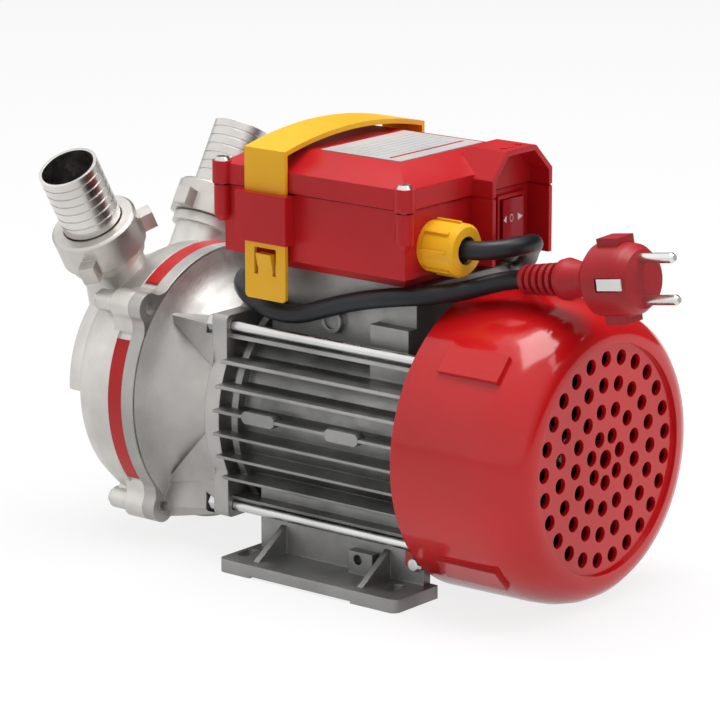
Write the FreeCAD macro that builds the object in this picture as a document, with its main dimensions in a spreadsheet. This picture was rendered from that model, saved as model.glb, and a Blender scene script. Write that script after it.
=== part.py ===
import FreeCAD, Part
import Sketcher
import math
import os
import re

# Electric oil transfer pump: a finned motor on two cast feet, a self-priming pump
# with two splayed hose tails, a switch box with a carrying strap, and a mains lead.
# +X is away from the switch-box gland side, +Y runs along the shaft to the pump,
# +Z is up, and the origin is the centre of the foot slots on the standing plane.

doc = FreeCAD.newDocument("transfer_pump")
sheet = doc.addObject("Spreadsheet::Sheet", "sizes")
sizes = {}


def size(name, value):
    """Put one driving size in the sheet under its own alias."""
    cell = "A%d" % (len(sizes) + 1)
    sheet.set(cell, str(value))
    sheet.setAlias(cell, name)
    sizes[name] = value


# Feet and motor housing
shaft_height = 71
foot_span_x = 112
foot_span_y = 90
slot_width = 7
slot_length = 12.5
foot_thick = 6.5
foot_outer = 71.5
foot_pump_end = 51
foot_fan_end = 58
foot_relief = 1
foot_corner = 4
relief_half = 31
web_outer = 44.5
web_thick = 5
web_end_gap = 4.5
gusset_y = 32
gusset_thick = 3.2
gusset_rise = 14.5
core_radius = 52
bore_radius = 46.5
fin_radius = 65
fin_pitch = 11.5
fin_tip = 1.4
fin_root = 3.4
fin_rows = 8
housing_pump_end = 59.4
housing_fan_end = 58
ring_radius = 57
pedestal_x = 36
pedestal_pump_end = 46
pedestal_fan_end = 42
pedestal_top = 146
pedestal_wall = 6
ledge_depth = 6
entry_radius = 6.2
entry_y = 7.4
entry_z = 124
earth_hole_radius = 2.5

# Tie rods and end shields
rod_x = 48.6
rod_z = 44.7
rod_radius = 2.5
rod_clear = 0.3
rod_nut_radius = 4.6
rod_nut_thick = 4.5
ear_radius = 9.5
flange_radius = 60.5
flange_thick = 9
flange_edge = 5.5
flange_corner = 3
shield_thick = 8
shield_radius = 58

# Shaft line
shaft_radius = 7.5
core_seat_radius = 10
pump_shaft_radius = 6
fan_shaft_radius = 6
run_clear = 0.05
bearing_outer = 17.5
bearing_wide = 11
front_bearing_y = 64
rear_bearing_y = 61
stack_half = 30
stator_inner = 28
air_gap = 0.4
winding_reach = 16
winding_outer = 42
fan_radius = 56
fan_plate_y = 82
fan_depth = 24
fan_blades = 8
fan_hub_radius = 12

# Fan cover
cover_rim_y = 55.6
cover_radius = 72.6
cover_flat = 0.5
cover_tab_low = 10
cover_tab_high = 22.5
cover_tab_thick = 2
cover_screw_y = 50.4
cover_screw_z = 17
cover_screw_radius = 2
cover_wall = 1.8
shoulder_y = 101
grille_y = 125.2
grille_thick = 2.4
grille_recess = 2
grille_field = 54.8
grille_edge = 58.2
vent_radius = 3.75
vent_centre_radius = 4.5
vent_pitch = 12.17
vent_first_ring = 11.3

# Pump
disc_rear = 107.8
joint_y = 115.4
disc_radius = 68.7
neck_radius = 47
band_wide = 8.6
band_thick = 1.1
lug_pitch_radius = 72.5
lug_radius = 7.5
lug_pad_radius = 16
lug_pad_in = 15.5
lug_fillet = 7
lug_block_front = 127.4
lug_boss_radius = 5.4
lug_turn = 40.5
lug_front = 139.2
bolt_radius = 3
bolt_head_radius = 3.5
bolt_head_deep = 2.6
drum_front = 150.7
drum_front_radius = 61.5
chamber_front = 162
chamber_radius = 58
chamber_floor = 70
impeller_room_radius = 54
impeller_room_deep = 17
impeller_radius = 50
impeller_side_gap = 0.6
impeller_blades = 12
seal_seat_radius = 13

# Ports: distances run along each port from the shaft axis
port_y = 151.5
port_splay = 30
port_neck_radius = 16.5
port_lip_radius = 19
port_lip_low = 74
port_lip_high = 79
port_thread_radius = 17.5
port_face = 90
port_bore = 13.6
gasket_thick = 0.6
tail_flange_thick = 2.6
tail_radius = 15
tail_bore = 13.4
tail_top = 130.5
tail_neck_end = 97
tail_groove_pitch = 4.7
tail_grooves = 6
tail_groove_deep = 0.5
nut_radius = 21.8
nut_low = 79.5
nut_high = 96.2
nut_clear = 0.3
nut_lug_wide = 8
nut_lug_out = 6.5
nut_lug_tall = 9

# Switch box
box_half = 48.5
box_fan_end = 45
box_pump_end = 64.5
box_floor = 152.3
box_split = 184.4
box_wall = 2.5
capacitor_radius = 15
capacitor_long = 56
capacitor_clear = 5
terminal_wide = 18
terminal_long = 38
terminal_tall = 13
terminal_inset = 12
terminal_back = 8
plinth_half = 37
plinth_inset = 9
lid_over = 1.8
lid_low = 185.2
lid_shoulder = 194.9
roof_z = 203.5
roof_half = 34.5
roof_inset = 16
lid_boss_radius = 5
lid_boss_top = 196
base_boss_radius = 4.2
base_boss_low = 167
hood_inset = 1.4
hood_wide = 46.7
hood_far = box_half - hood_inset
hood_near = hood_far - hood_wide
hood_reach = 13.2
hood_top = 205.7
hood_eave = 193.1
hood_slope = 11
hood_wall = 2.4
switch_inset = 18.5
switch_x = box_half - switch_inset
switch_z = 169.7
switch_wide = 20.8
switch_tall = 23.7
switch_bezel = 1.8
rocker_wide = 16.4
rocker_tall = 19.2
rocker_swing = 8
gland_x = -28
gland_z = 166
gland_radius = 9.5
gland_nut_radius = 13
gland_nut_front = 65.2
gland_nut_rear = 48
gland_mouth = 6.6

# Strap and its bridges
strap_y = 36
strap_wide = 25
strap_thick = 2
strap_corner = 2.5
strap_stand = 2.3
strap_inner = box_half + strap_stand
strap_low = 132.5
strap_shoulder = 205
strap_crown = 211.3
bridge_wide = 31
bridge_stand = 7.9
bridge_out = box_half + bridge_stand
bridge_low = 160.7
bridge_high = 184.2
strap_clear = 0.4
window_wide = 13.3
window_low = 144.5
window_high = 157.5
tongue_wide = 9
strap_lift = 5.4

# Mains lead and plug
cord_radius = 4.5
plug_radius = 16.8
plug_body_long = 44
relief_long = 25
relief_thick = 8
relief_rings = 5
plug_tab_wide = 12
plug_tab_tall = 5
pin_radius = 2.4
pin_long = 19
pin_spacing = 19

for name, number in list(globals().items()):
    if type(number) in (int, float):
        size(name, number)

names = re.compile(r"\b(" + "|".join(sorted(sizes, key=len, reverse=True)) + r")\b")


def bound(formula):
    """A formula in plain size names, as an expression on the sheet."""
    return names.sub(r"sizes.\1", str(formula))


doc.recompute()


def value(formula):
    """The number that a formula in size names gives."""
    return float(sheet.evalExpression(bound(formula)))


def set_base(thing, x=0, y=0, z=0):
    for axis, formula in zip("xyz", (x, y, z)):
        thing.setExpression("Placement.Base." + axis, bound(formula))


def turned_to(thing, axis, degrees):
    thing.Placement.Rotation = FreeCAD.Rotation(FreeCAD.Vector(*axis), degrees)


def block(name, x0, x1, y0, y1, z0, z1):
    """A box between two corners."""
    box = doc.addObject("Part::Box", name)
    box.setExpression("Length", bound("(%s) - (%s)" % (x1, x0)))
    box.setExpression("Width", bound("(%s) - (%s)" % (y1, y0)))
    box.setExpression("Height", bound("(%s) - (%s)" % (z1, z0)))
    set_base(box, x0, y0, z0)
    return box


def rod(name, way, radius, start, end, a=0, b=0):
    """A round bar along X, Y or Z from start to end, at a and b on the other two axes."""
    bar = doc.addObject("Part::Cylinder", name)
    bar.setExpression("Radius", bound(radius))
    bar.setExpression("Height", bound("(%s) - (%s)" % (end, start)))
    if way == "x":
        turned_to(bar, (0, 1, 0), 90)
        set_base(bar, start, a, b)
    elif way == "y":
        turned_to(bar, (1, 0, 0), -90)
        set_base(bar, a, start, b)
    else:
        set_base(bar, a, b, start)
    return bar


def cone(name, way, first, last, start, end, a=0, b=0):
    """A round taper along Y or Z."""
    taper = doc.addObject("Part::Cone", name)
    taper.setExpression("Radius1", bound(first))
    taper.setExpression("Radius2", bound(last))
    taper.setExpression("Height", bound("(%s) - (%s)" % (end, start)))
    if way == "y":
        turned_to(taper, (1, 0, 0), -90)
        set_base(taper, a, start, b)
    else:
        set_base(taper, a, b, start)
    return taper


def fuse(name, pieces):
    joined = doc.addObject("Part::MultiFuse", name)
    joined.Shapes = pieces
    joined.Refine = True
    return joined


def cut(name, base, tools):
    """Base with one or more pieces taken away."""
    tool = tools[0] if len(tools) == 1 else fuse(name + "_tools", tools)
    result = doc.addObject("Part::Cut", name)
    result.Base = base
    result.Tool = tool
    result.Refine = True
    return result


def common(name, first, second):
    result = doc.addObject("Part::Common", name)
    result.Base = first
    result.Tool = second
    result.Refine = True
    return result


def group(name, pieces):
    together = doc.addObject("Part::Compound", name)
    together.Links = pieces
    return together


def moved(name, thing, x=0, y=0, z=0, axis=(0, 0, 1), degrees=0):
    """The same shape again at another place."""
    copy = doc.addObject("Part::Compound", name)
    copy.Links = [thing]
    turned_to(copy, axis, degrees)
    set_base(copy, x, y, z)
    return copy


def rounded(name, thing, radius, wanted):
    """The same shape with a radius on each edge that wanted picks."""
    doc.recompute()
    result = doc.addObject("Part::Fillet", name)
    result.Base = thing
    amount = value(radius)
    result.Edges = [(number + 1, amount, amount) for number, edge in enumerate(thing.Shape.Edges)
                    if wanted(edge)]
    return result


def runs_along(edge, axis):
    along = edge.tangentAt(edge.FirstParameter)
    return edge.Curve.TypeId == "Part::GeomLine" and abs(abs(along[axis]) - 1) < 1e-6


def outline(body, name, plane, points):
    """A closed sketch through the given points, each tied to the sheet."""
    sketch = body.newObject("Sketcher::SketchObject", name)
    support = [f for f in body.Origin.OriginFeatures if f.Role == plane][0]
    sketch.AttachmentSupport = (support, [""])
    sketch.MapMode = "FlatFace"
    spots = [(value(u), value(v)) for u, v in points]
    count = len(spots)
    for index in range(count):
        here = FreeCAD.Vector(*spots[index], 0)
        there = FreeCAD.Vector(*spots[(index + 1) % count], 0)
        sketch.addGeometry(Part.LineSegment(here, there))
    for index in range(count):
        sketch.addConstraint(Sketcher.Constraint("Coincident", index, 2, (index + 1) % count, 1))
    for index, (u, v) in enumerate(points):
        for kind, formula, number, axis in (("DistanceX", u, 0, -2), ("DistanceY", v, 1, -1)):
            if abs(spots[index][number]) < 1e-6:
                sketch.addConstraint(Sketcher.Constraint("PointOnObject", index, 1, axis))
                continue
            place = sketch.addConstraint(
                Sketcher.Constraint(kind, -1, 1, index, 1, spots[index][number])
            )
            sketch.setExpression("Constraints[%d]" % place, bound(formula))
    return sketch


def turning(name, points, z="shaft_height"):
    """A body of revolution about the shaft line, from points given as (y, radius)."""
    body = doc.addObject("PartDesign::Body", name)
    sketch = outline(body, name + "_outline", "YZ_Plane", points)
    spin = body.newObject("PartDesign::Revolution", name + "_spin")
    spin.Profile = sketch
    spin.ReferenceAxis = (sketch, ["H_Axis"])
    spin.Angle = 360
    set_base(body, 0, 0, z)
    return body


def slab(name, plane, points, start, end):
    """A plate of the given outline, padded along the third axis from start to end."""
    body = doc.addObject("PartDesign::Body", name)
    sketch = outline(body, name + "_outline", plane, points)
    pad = body.newObject("PartDesign::Pad", name + "_pad")
    pad.Profile = sketch
    pad.setExpression("Length", bound("(%s) - (%s)" % (end, start)))
    if plane == "XZ_Plane":
        pad.Reversed = True
        set_base(body, 0, start, 0)
    elif plane == "YZ_Plane":
        set_base(body, start, 0, 0)
    else:
        set_base(body, 0, 0, start)
    return body


def frustum(name, low, high, z0, z1):
    """A block that tapers from rectangle low to rectangle high, each (x0, x1, y0, y1)."""
    wedge = doc.addObject("Part::Wedge", name)
    for prop, formula in (
        ("Xmin", low[0]), ("Xmax", low[1]), ("Zmin", "-(%s)" % low[3]), ("Zmax", "-(%s)" % low[2]),
        ("X2min", high[0]), ("X2max", high[1]),
        ("Z2min", "-(%s)" % high[3]), ("Z2max", "-(%s)" % high[2]),
        ("Ymin", z0), ("Ymax", z1),
    ):
        wedge.setExpression(prop, bound(formula))
    turned_to(wedge, (1, 0, 0), 90)
    return wedge


finished = []


def node(name, thing):
    """Name a finished sub-part."""
    thing.Label = name
    finished.append(thing)
    return thing


# Stator housing: finned drum, feet, webs and the pedestal for the switch box

def make_housing():
    y0, y1 = "-housing_fan_end", "housing_pump_end"
    drum = rod("drum", "y", "core_radius", y0, y1, 0, "shaft_height")
    plates = []
    for row in range(sizes["fin_rows"]):
        level = "shaft_height + (%g) * fin_pitch" % (row - (sizes["fin_rows"] - 1) / 2)
        shape = [("-fin_radius", level + " - fin_tip / 2"), (0, level + " - fin_root / 2"),
                 ("fin_radius", level + " - fin_tip / 2"), ("fin_radius", level + " + fin_tip / 2"),
                 (0, level + " + fin_root / 2"), ("-fin_radius", level + " + fin_tip / 2")]
        plates.append(slab("fin_%d" % row, "XZ_Plane", shape, y0, y1))
    envelope = rod("fin_envelope", "y", "fin_radius", y0, y1, 0, "shaft_height")
    fins = common("fins", fuse("fin_stack", plates), envelope)
    rings = [
        rod("pump_end_ring", "y", "ring_radius", y1 + " - 9", y1 + " - 5", 0, "shaft_height"),
        rod("fan_end_ring", "y", "ring_radius", y0, y0 + " + 4", 0, "shaft_height"),
    ]
    pads = []
    for number, middle in enumerate((31, -20)):
        level = "shaft_height + fin_pitch / 2"
        shape = [("%g - 10" % middle, level + " - 1.4"), ("%g - 8.2" % middle, level + " - 3"),
                 ("%g + 8.2" % middle, level + " - 3"), ("%g + 10" % middle, level + " - 1.4"),
                 ("%g + 10" % middle, level + " + 1.4"), ("%g + 8.2" % middle, level + " + 3"),
                 ("%g - 8.2" % middle, level + " + 3"), ("%g - 10" % middle, level + " + 1.4")]
        pads.append(slab("casting_pad_%d" % number, "YZ_Plane", shape, "-fin_radius",
                         "-fin_radius + 6"))
    pedestal = block("pedestal_block", "-pedestal_x", "pedestal_x", "-pedestal_fan_end",
                     "pedestal_pump_end", "shaft_height + 30", "pedestal_top")
    ledge = block("ledge", "-pedestal_x - ledge_depth", "-pedestal_x + 1", "-pedestal_fan_end",
                  "-19", "shaft_height + 30", "shaft_height + 56")
    entry = rod("cable_entry_boss", "x", "entry_radius", "-pedestal_x - 3", "-pedestal_x + 1",
                "entry_y", "entry_z")
    feet = []
    holes = []
    for side, sign in (("near", -1), ("far", 1)):
        outer, inner = ("-foot_outer", "-web_outer + web_thick") if sign < 0 else (
            "web_outer - web_thick", "foot_outer")
        plate = block("foot_block_" + side, outer, inner, "-foot_fan_end", "foot_pump_end",
                      0, "foot_thick")
        feet.append(rounded("foot_plate_" + side, plate, "foot_corner", lambda edge: runs_along(
            edge, 2) and abs(edge.Vertexes[0].X - sign * value("foot_outer")) < 0.01))
        web_x = ("-web_outer", "-web_outer + web_thick") if sign < 0 else (
            "web_outer - web_thick", "web_outer")
        feet.append(block("web_" + side, web_x[0], web_x[1], "-foot_fan_end + web_end_gap",
                          "foot_pump_end - web_end_gap", 0, "shaft_height - 30"))
        for end, y in (("fan", "-gusset_y"), ("pump", "gusset_y")):
            points = [("%d * (foot_outer - 5)" % sign, "foot_thick - 0.5"),
                      ("%d * (web_outer - 1)" % sign, "foot_thick - 0.5"),
                      ("%d * (web_outer - 1)" % sign, "foot_thick + gusset_rise")]
            feet.append(slab("gusset_%s_%s" % (side, end), "XZ_Plane", points,
                             y + " - gusset_thick / 2", y + " + gusset_thick / 2"))
        holes.append(block("relief_" + side, "%d * foot_outer - 40" % sign,
                           "%d * foot_outer + 40" % sign, "-relief_half", "relief_half",
                           -5, "foot_relief"))
        for end, y in (("fan", "-foot_span_y / 2"), ("pump", "foot_span_y / 2")):
            middle = "%d * foot_span_x / 2" % sign
            tag = side + "_" + end
            reach = "(slot_length - slot_width) / 2"
            holes.append(block("slot_flat_" + tag, middle + " - " + reach, middle + " + " + reach,
                               y + " - slot_width / 2", y + " + slot_width / 2", -5, "foot_thick + 5"))
            for number, way in enumerate(("-", "+")):
                holes.append(rod("slot_end_%s_%d" % (tag, number), "z", "slot_width / 2", -5,
                                 "foot_thick + 5", middle + " " + way + " " + reach, y))
    for side, sign in (("near", -1), ("far", 1)):
        start, stop = ("-web_outer - 1", "-30") if sign < 0 else ("30", "web_outer + 1")
        holes.append(rod("cover_drill_" + side, "x", "cover_screw_radius", start, stop,
                         "-cover_screw_y", "cover_screw_z"))
    earth = block("earth_block", "-web_outer - 5.5", "-web_outer + 2", -26.9, -12.2,
                  "foot_thick - 1", "foot_thick + 11")
    casting = fuse("housing_casting", [drum, fins] + rings + pads + [pedestal, ledge, entry, earth]
                   + feet)
    holes.append(rod("stator_bore", "y", "bore_radius", y0 + " - 5", y1 + " + 5", 0, "shaft_height"))
    holes.append(block("pedestal_pocket", "-pedestal_x + pedestal_wall", "pedestal_x - pedestal_wall",
                       "-pedestal_fan_end + pedestal_wall", "pedestal_pump_end - pedestal_wall",
                       "pedestal_top - 16", "pedestal_top + 5"))
    holes.append(rod("lead_hole", "z", 8, "shaft_height + 30", "pedestal_top", 0, 0))
    holes.append(rod("entry_hole", "x", "entry_radius - 2.2", "-pedestal_x - 5", "-pedestal_x - 1.5",
                     "entry_y", "entry_z"))
    holes.append(rod("earth_hole", "x", "earth_hole_radius", "-web_outer - 8", "-web_outer - 0.5",
                     -18, "foot_thick + 7"))
    return node("stator_housing", cut("housing_cut", casting, holes))


def make_motor_inside():
    stack = cut("stator_core_cut",
                rod("stator_block", "y", "bore_radius", "-stack_half", "stack_half", 0, "shaft_height"),
                [rod("stator_hole", "y", "stator_inner", "-stack_half - 5", "stack_half + 5", 0,
                     "shaft_height")])
    node("stator_core", stack)
    rings = []
    for end, start, stop in (("pump", "stack_half", "stack_half + winding_reach"),
                             ("fan", "-stack_half - winding_reach", "-stack_half")):
        rings.append(cut("winding_" + end,
                         rod("winding_block_" + end, "y", "winding_outer", start, stop, 0,
                             "shaft_height"),
                         [rod("winding_hole_" + end, "y", "stator_inner + 2", start + " - 5",
                              stop + " + 5", 0, "shaft_height")]))
    node("windings", group("winding_pair", rings))
    node("rotor_core", cut("rotor_core_cut",
                           rod("rotor_block", "y", "stator_inner - air_gap", "-stack_half",
                               "stack_half", 0, "shaft_height"),
                           [rod("rotor_hole", "y", "core_seat_radius", "-stack_half - 5",
                                "stack_half + 5", 0, "shaft_height")]))


def make_shaft():
    front_shoulder = "front_bearing_y"
    rear_shoulder = "-rear_bearing_y"
    pump_step = "front_bearing_y + bearing_wide + 3"
    fan_step = "-(rear_bearing_y + bearing_wide + 1)"
    pump_tip = "joint_y + impeller_side_gap + 14"
    fan_tip = "-(fan_plate_y + 20)"
    points = [(fan_tip, 0), (pump_tip, 0), (pump_tip, "pump_shaft_radius"),
              (pump_step, "pump_shaft_radius"), (pump_step, "shaft_radius"),
              (front_shoulder, "shaft_radius"), (front_shoulder, "core_seat_radius"),
              (rear_shoulder, "core_seat_radius"), (rear_shoulder, "shaft_radius"),
              (fan_step, "shaft_radius"), (fan_step, "fan_shaft_radius"),
              (fan_tip, "fan_shaft_radius")]
    node("shaft", turning("shaft_turned", points))


def make_bearing(name, start, end):
    ring = rod(name + "_ring", "y", "bearing_outer", start, end, 0, "shaft_height")
    tools = [rod(name + "_bore", "y", "shaft_radius + run_clear", start + " - 5", end + " + 5", 0,
                 "shaft_height")]
    for face, a, b in (("low", start + " - 1", start + " + 0.8"), ("high", end + " - 0.8", end + " + 1")):
        tools.append(cut(name + "_groove_" + face,
                         rod(name + "_groove_out_" + face, "y", "bearing_outer - 3", a, b, 0,
                             "shaft_height"),
                         [rod(name + "_groove_in_" + face, "y", "shaft_radius + 3", a + " - 1",
                              b + " + 1", 0, "shaft_height")]))
    return node(name, cut(name + "_cut", ring, tools))


def square_flange(name, start, end, radius):
    """A round flange that bulges from the flat sides of a square one with the tie rods in its corners."""
    round_part = rod(name + "_round", "y", radius, start, end, 0, "shaft_height")
    square = block(name + "_square", "-rod_x - flange_edge", "rod_x + flange_edge", start, end,
                   "shaft_height - rod_z - flange_edge", "shaft_height + rod_z + flange_edge")
    corners = rounded(name + "_corners", square, "flange_corner", lambda edge: runs_along(edge, 1))
    return [round_part, corners]


def rod_holes(name, start, end):
    holes = []
    for index, (sx, sz) in enumerate(((-1, -1), (-1, 1), (1, -1), (1, 1))):
        holes.append(rod("%s_rod_hole_%d" % (name, index), "y", "rod_radius + rod_clear", start, end,
                         "%d * rod_x" % sx, "shaft_height + %d * rod_z" % sz))
    return holes


def make_rear_shield():
    near, far = "-housing_fan_end - shield_thick", "-housing_fan_end"
    pieces = [rod("shield_disc", "y", "shield_radius", near, far, 0, "shaft_height"),
              rod("shield_spigot", "y", "bore_radius - 0.3", far, far + " + 4", 0, "shaft_height"),
              rod("shield_hub", "y", "bearing_outer + 5", "-rear_bearing_y - bearing_wide - 2.5",
                  far, 0, "shaft_height")]
    for index, (sx, sz) in enumerate(((-1, -1), (-1, 1), (1, -1), (1, 1))):
        pieces.append(rod("shield_ear_%d" % index, "y", "rod_radius + 1.5", near, far,
                          "%d * rod_x" % sx, "shaft_height + %d * rod_z" % sz))
        arm = block("shield_arm_%d" % index, "shield_radius - 6",
                    "sqrt(rod_x ^ 2 + rod_z ^ 2)", near, far, "-rod_radius - 1.5", "rod_radius + 1.5")
        turn = -sz * math.degrees(math.atan2(sizes["rod_z"], sx * sizes["rod_x"]))
        pieces.append(moved("shield_arm_turned_%d" % index, arm, 0, 0, "shaft_height", (0, 1, 0),
                            turn))
    tools = [rod("shield_bearing_seat", "y", "bearing_outer", "-rear_bearing_y - bearing_wide",
                 far + " + 6", 0, "shaft_height"),
             rod("shield_shaft_hole", "y", "shaft_radius + 0.4", "-rear_bearing_y - bearing_wide - 6",
                 far, 0, "shaft_height")]
    tools += rod_holes("shield", near + " - 5", far + " + 1")
    for index in range(6):
        angle = math.radians(60 * index)
        tools.append(rod("shield_vent_%d" % index, "y", 6, near + " - 5", far + " + 8",
                         "36 * %.6f" % math.sin(angle), "shaft_height + 36 * %.6f" % math.cos(angle)))
    node("rear_shield", cut("shield_cut", fuse("shield_fused", pieces), tools))


def make_tie_rods():
    rods = []
    nuts = []
    front = "housing_pump_end + flange_thick"
    rear = "-housing_fan_end - shield_thick"
    for index, (sx, sz) in enumerate(((-1, -1), (-1, 1), (1, -1), (1, 1))):
        x, z = "%d * rod_x" % sx, "shaft_height + %d * rod_z" % sz
        bar = rod("rod_%d" % index, "y", "rod_radius", rear, front + " + rod_nut_thick + 1", x, z)
        head = rod("rod_head_%d" % index, "y", "rod_radius + 1.4", rear + " - 3.5", rear, x, z)
        rods.append(fuse("tie_rod_%d" % index, [bar, head]))
        prism = doc.addObject("Part::Prism", "nut_prism_%d" % index)
        prism.Polygon = 6
        prism.setExpression("Circumradius", bound("rod_nut_radius"))
        prism.setExpression("Height", bound("rod_nut_thick"))
        turned_to(prism, (1, 0, 0), -90)
        set_base(prism, x, front, z)
        hole = rod("nut_hole_%d" % index, "y", "rod_radius", front + " - 2",
                   front + " + rod_nut_thick + 2", x, z)
        nuts.append(cut("rod_nut_%d" % index, prism, [hole]))
    node("tie_rods", group("tie_rod_set", rods))
    node("tie_rod_nuts", group("rod_nut_set", nuts))


# Fan and its cover

def make_fan():
    back = "-fan_plate_y"
    plate = rod("fan_plate", "y", "fan_radius", back + " - 2", back, 0, "shaft_height")
    hub = rod("fan_hub", "y", "fan_hub_radius", back + " - 18", back, 0, "shaft_height")
    pieces = [plate, hub]
    for index in range(sizes["fan_blades"]):
        blade = block("fan_blade_%d" % index, 8, "fan_radius - 1", -1, 1, 0, "fan_depth - 2")
        first = doc.addObject("Part::Compound", "fan_blade_set_%d" % index)
        first.Links = [blade]
        spin = FreeCAD.Rotation(FreeCAD.Vector(0, 1, 0), 360.0 / sizes["fan_blades"] * index)
        first.Placement.Rotation = spin * FreeCAD.Rotation(FreeCAD.Vector(1, 0, 0), 90)
        set_base(first, 0, back + " - 1", "shaft_height")
        pieces.append(first)
    bore = rod("fan_bore", "y", "fan_shaft_radius", back + " - 40", back + " + 5", 0, "shaft_height")
    node("cooling_fan", cut("fan_cut", fuse("fan_fused", pieces), [bore]))


def make_cover():
    rim = "-cover_rim_y"
    shoulder = "-shoulder_y"
    face = "-grille_y"
    lip = "-grille_y - grille_recess"
    wall = "cover_wall"
    turns = 5
    outer = [(rim, "cover_radius"), (shoulder, "cover_radius - 0.6")]
    for step in range(1, turns + 1):
        angle = math.radians(90.0 * step / turns)
        along = "(grille_y + grille_recess - shoulder_y) * %.5f" % math.sin(angle)
        down = "(cover_radius - 0.6 - grille_edge) * %.5f" % (1 - math.cos(angle))
        outer.append((shoulder + " - " + along, "cover_radius - 0.6 - " + down))
    inner_ring = [(lip, "grille_field"), (face, "grille_field"), (face, 0),
                  (face + " + grille_thick", 0), (face + " + grille_thick", "grille_field - 1")]
    back = [(face + " + grille_thick + 1.5", "grille_edge - 1.5")]
    for step in range(turns - 1, 0, -1):
        angle = math.radians(90.0 * step / turns)
        along = "(grille_y - grille_thick - shoulder_y) * %.5f" % math.sin(angle)
        down = "(cover_radius - 0.6 - grille_edge) * %.5f" % (1 - math.cos(angle))
        back.append((shoulder + " - " + along, "cover_radius - 0.6 - %s - %s" % (wall, down)))
    back += [(shoulder, "cover_radius - 0.6 - " + wall), (rim, "cover_radius - " + wall)]
    shell = turning("cover_shell", outer + inner_ring + back)
    pads = []
    for index, degrees in enumerate((47, 133, -47, -133)):
        pad = block("cover_pad_%d" % index, "-7", "7", "-shoulder_y - 5", "-cover_rim_y - 16",
                    "cover_radius - 1.6", "cover_radius + 1.2")
        place = moved("cover_pad_turned_%d" % index, pad, 0, 0, "shaft_height", (0, 1, 0), -degrees)
        pads.append(place)
    tabs = []
    for side, sign in (("near", -1), ("far", 1)):
        inner = "web_outer + 0.3"
        outer = "web_outer + 0.3 + cover_tab_thick"
        x0, x1 = ("-(%s)" % outer, "-(%s)" % inner) if sign < 0 else (inner, outer)
        plate = block("cover_tab_" + side, x0, x1, "-housing_fan_end + 0.3", "-cover_screw_y + 6",
                      "cover_tab_low", "cover_tab_high")
        tabs.append(common("cover_tab_kept_" + side, plate,
                           rod("cover_tab_round_" + side, "y", "cover_radius - 0.3",
                               "-housing_fan_end - 1", "0", 0, "shaft_height")))
    screw_holes = [rod("cover_tab_holes", "x", "cover_screw_radius + 0.3", "-60", "60",
                       "-cover_screw_y", "cover_screw_z")]
    vents = [rod("vent_centre", "y", "vent_centre_radius", face + " - 5",
                 face + " + grille_thick + 0.5", 0, "shaft_height")]
    phases = (0.454, 0.316, -0.066, -0.265)
    for ring, (count, phase) in enumerate(zip((7, 13, 19, 25), phases)):
        radius = "(vent_first_ring + %d * vent_pitch)" % ring
        for index in range(count):
            angle = phase + 2 * math.pi * index / count
            vents.append(rod("vent_%d_%d" % (ring, index), "y", "vent_radius", face + " - 5",
                             face + " + grille_thick + 0.5",
                             "%s * %.5f" % (radius, math.sin(angle)),
                             "shaft_height + %s * %.5f" % (radius, math.cos(angle))))
    floor = common("cover_floor", rod("cover_floor_round", "y", "cover_radius - 0.6",
                                      "-shoulder_y + 2", rim, 0, "shaft_height"),
                   block("cover_floor_block", -30, 30, "-shoulder_y", rim, -5,
                         "cover_flat + cover_wall"))
    skin = fuse("cover_fused", [shell, floor] + pads + tabs)
    below = block("cover_flat_cut", -40, 40, "-grille_y - 5", rim + " + 5", -20, "cover_flat")
    node("fan_cover", cut("cover_cut", skin, [group("vent_field", vents), below] + screw_holes))
    screws = []
    for side, sign in (("near", -1), ("far", 1)):
        face = "(web_outer + 0.3 + cover_tab_thick)"
        shank = rod("cover_screw_shank_" + side, "z", "cover_screw_radius", "web_outer - 6", face, 0, 0)
        head = cone("cover_screw_head_" + side, "z", 3.8, 2.8, face, face + " + 2.2", 0, 0)
        whole = fuse("cover_screw_fused_" + side, [shank, head])
        screws.append(moved("cover_screw_turned_" + side, whole, 0, "-cover_screw_y",
                            "cover_screw_z", (0, 1, 0), 90 * sign))
    node("cover_screws", group("cover_screw_pair", screws))


# Pump casings

def lug_places():
    places = []
    for index in range(4):
        angle = math.radians(sizes["lug_turn"] + 90 * index)
        places.append((index, -math.cos(angle), math.sin(angle), angle))
    return places


def casing_lugs(name, start, end, disc):
    """The casing's round outline with a lug for each bolt, blended in by hollow radii."""
    radius = value(disc)
    level = value("shaft_height")
    middle = FreeCAD.Vector(0, 0, level)
    across = FreeCAD.Vector(0, 1, 0)
    faces = [Part.Face(Part.Wire(Part.makeCircle(radius, middle, across)))]
    for index, cx, cz, angle in lug_places():
        for reach, size_of in (("lug_pitch_radius", "lug_radius"),
                               ("lug_pitch_radius - lug_pad_in", "lug_pad_radius")):
            centre = FreeCAD.Vector(cx * value(reach), 0, level + cz * value(reach))
            faces.append(Part.Face(Part.Wire(Part.makeCircle(value(size_of), centre, across))))
    whole = faces[0].fuse(faces[1:]).removeSplitter()
    blend = value("lug_fillet")
    edge = whole.Faces[0].OuterWire.makeOffset2D(blend).makeOffset2D(-blend)
    flat = doc.addObject("Part::Feature", name + "_lug_outline")
    flat.Shape = Part.Face(edge)
    plate = doc.addObject("Part::Extrusion", name + "_lug_plate")
    plate.Base = flat
    plate.DirMode = "Custom"
    plate.Dir = FreeCAD.Vector(0, 1, 0)
    plate.Solid = True
    plate.setExpression("LengthFwd", bound("(%s) - (%s)" % (end, start)))
    return [moved(name + "_lugs", plate, 0, start, 0)]


def boss_bars(name, radius, start, end):
    return [rod("%s_%d" % (name, index), "y", radius, start, end, "lug_pitch_radius * %.6f" % cx,
                "shaft_height + lug_pitch_radius * %.6f" % cz)
            for index, cx, cz, angle in lug_places()]


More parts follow.
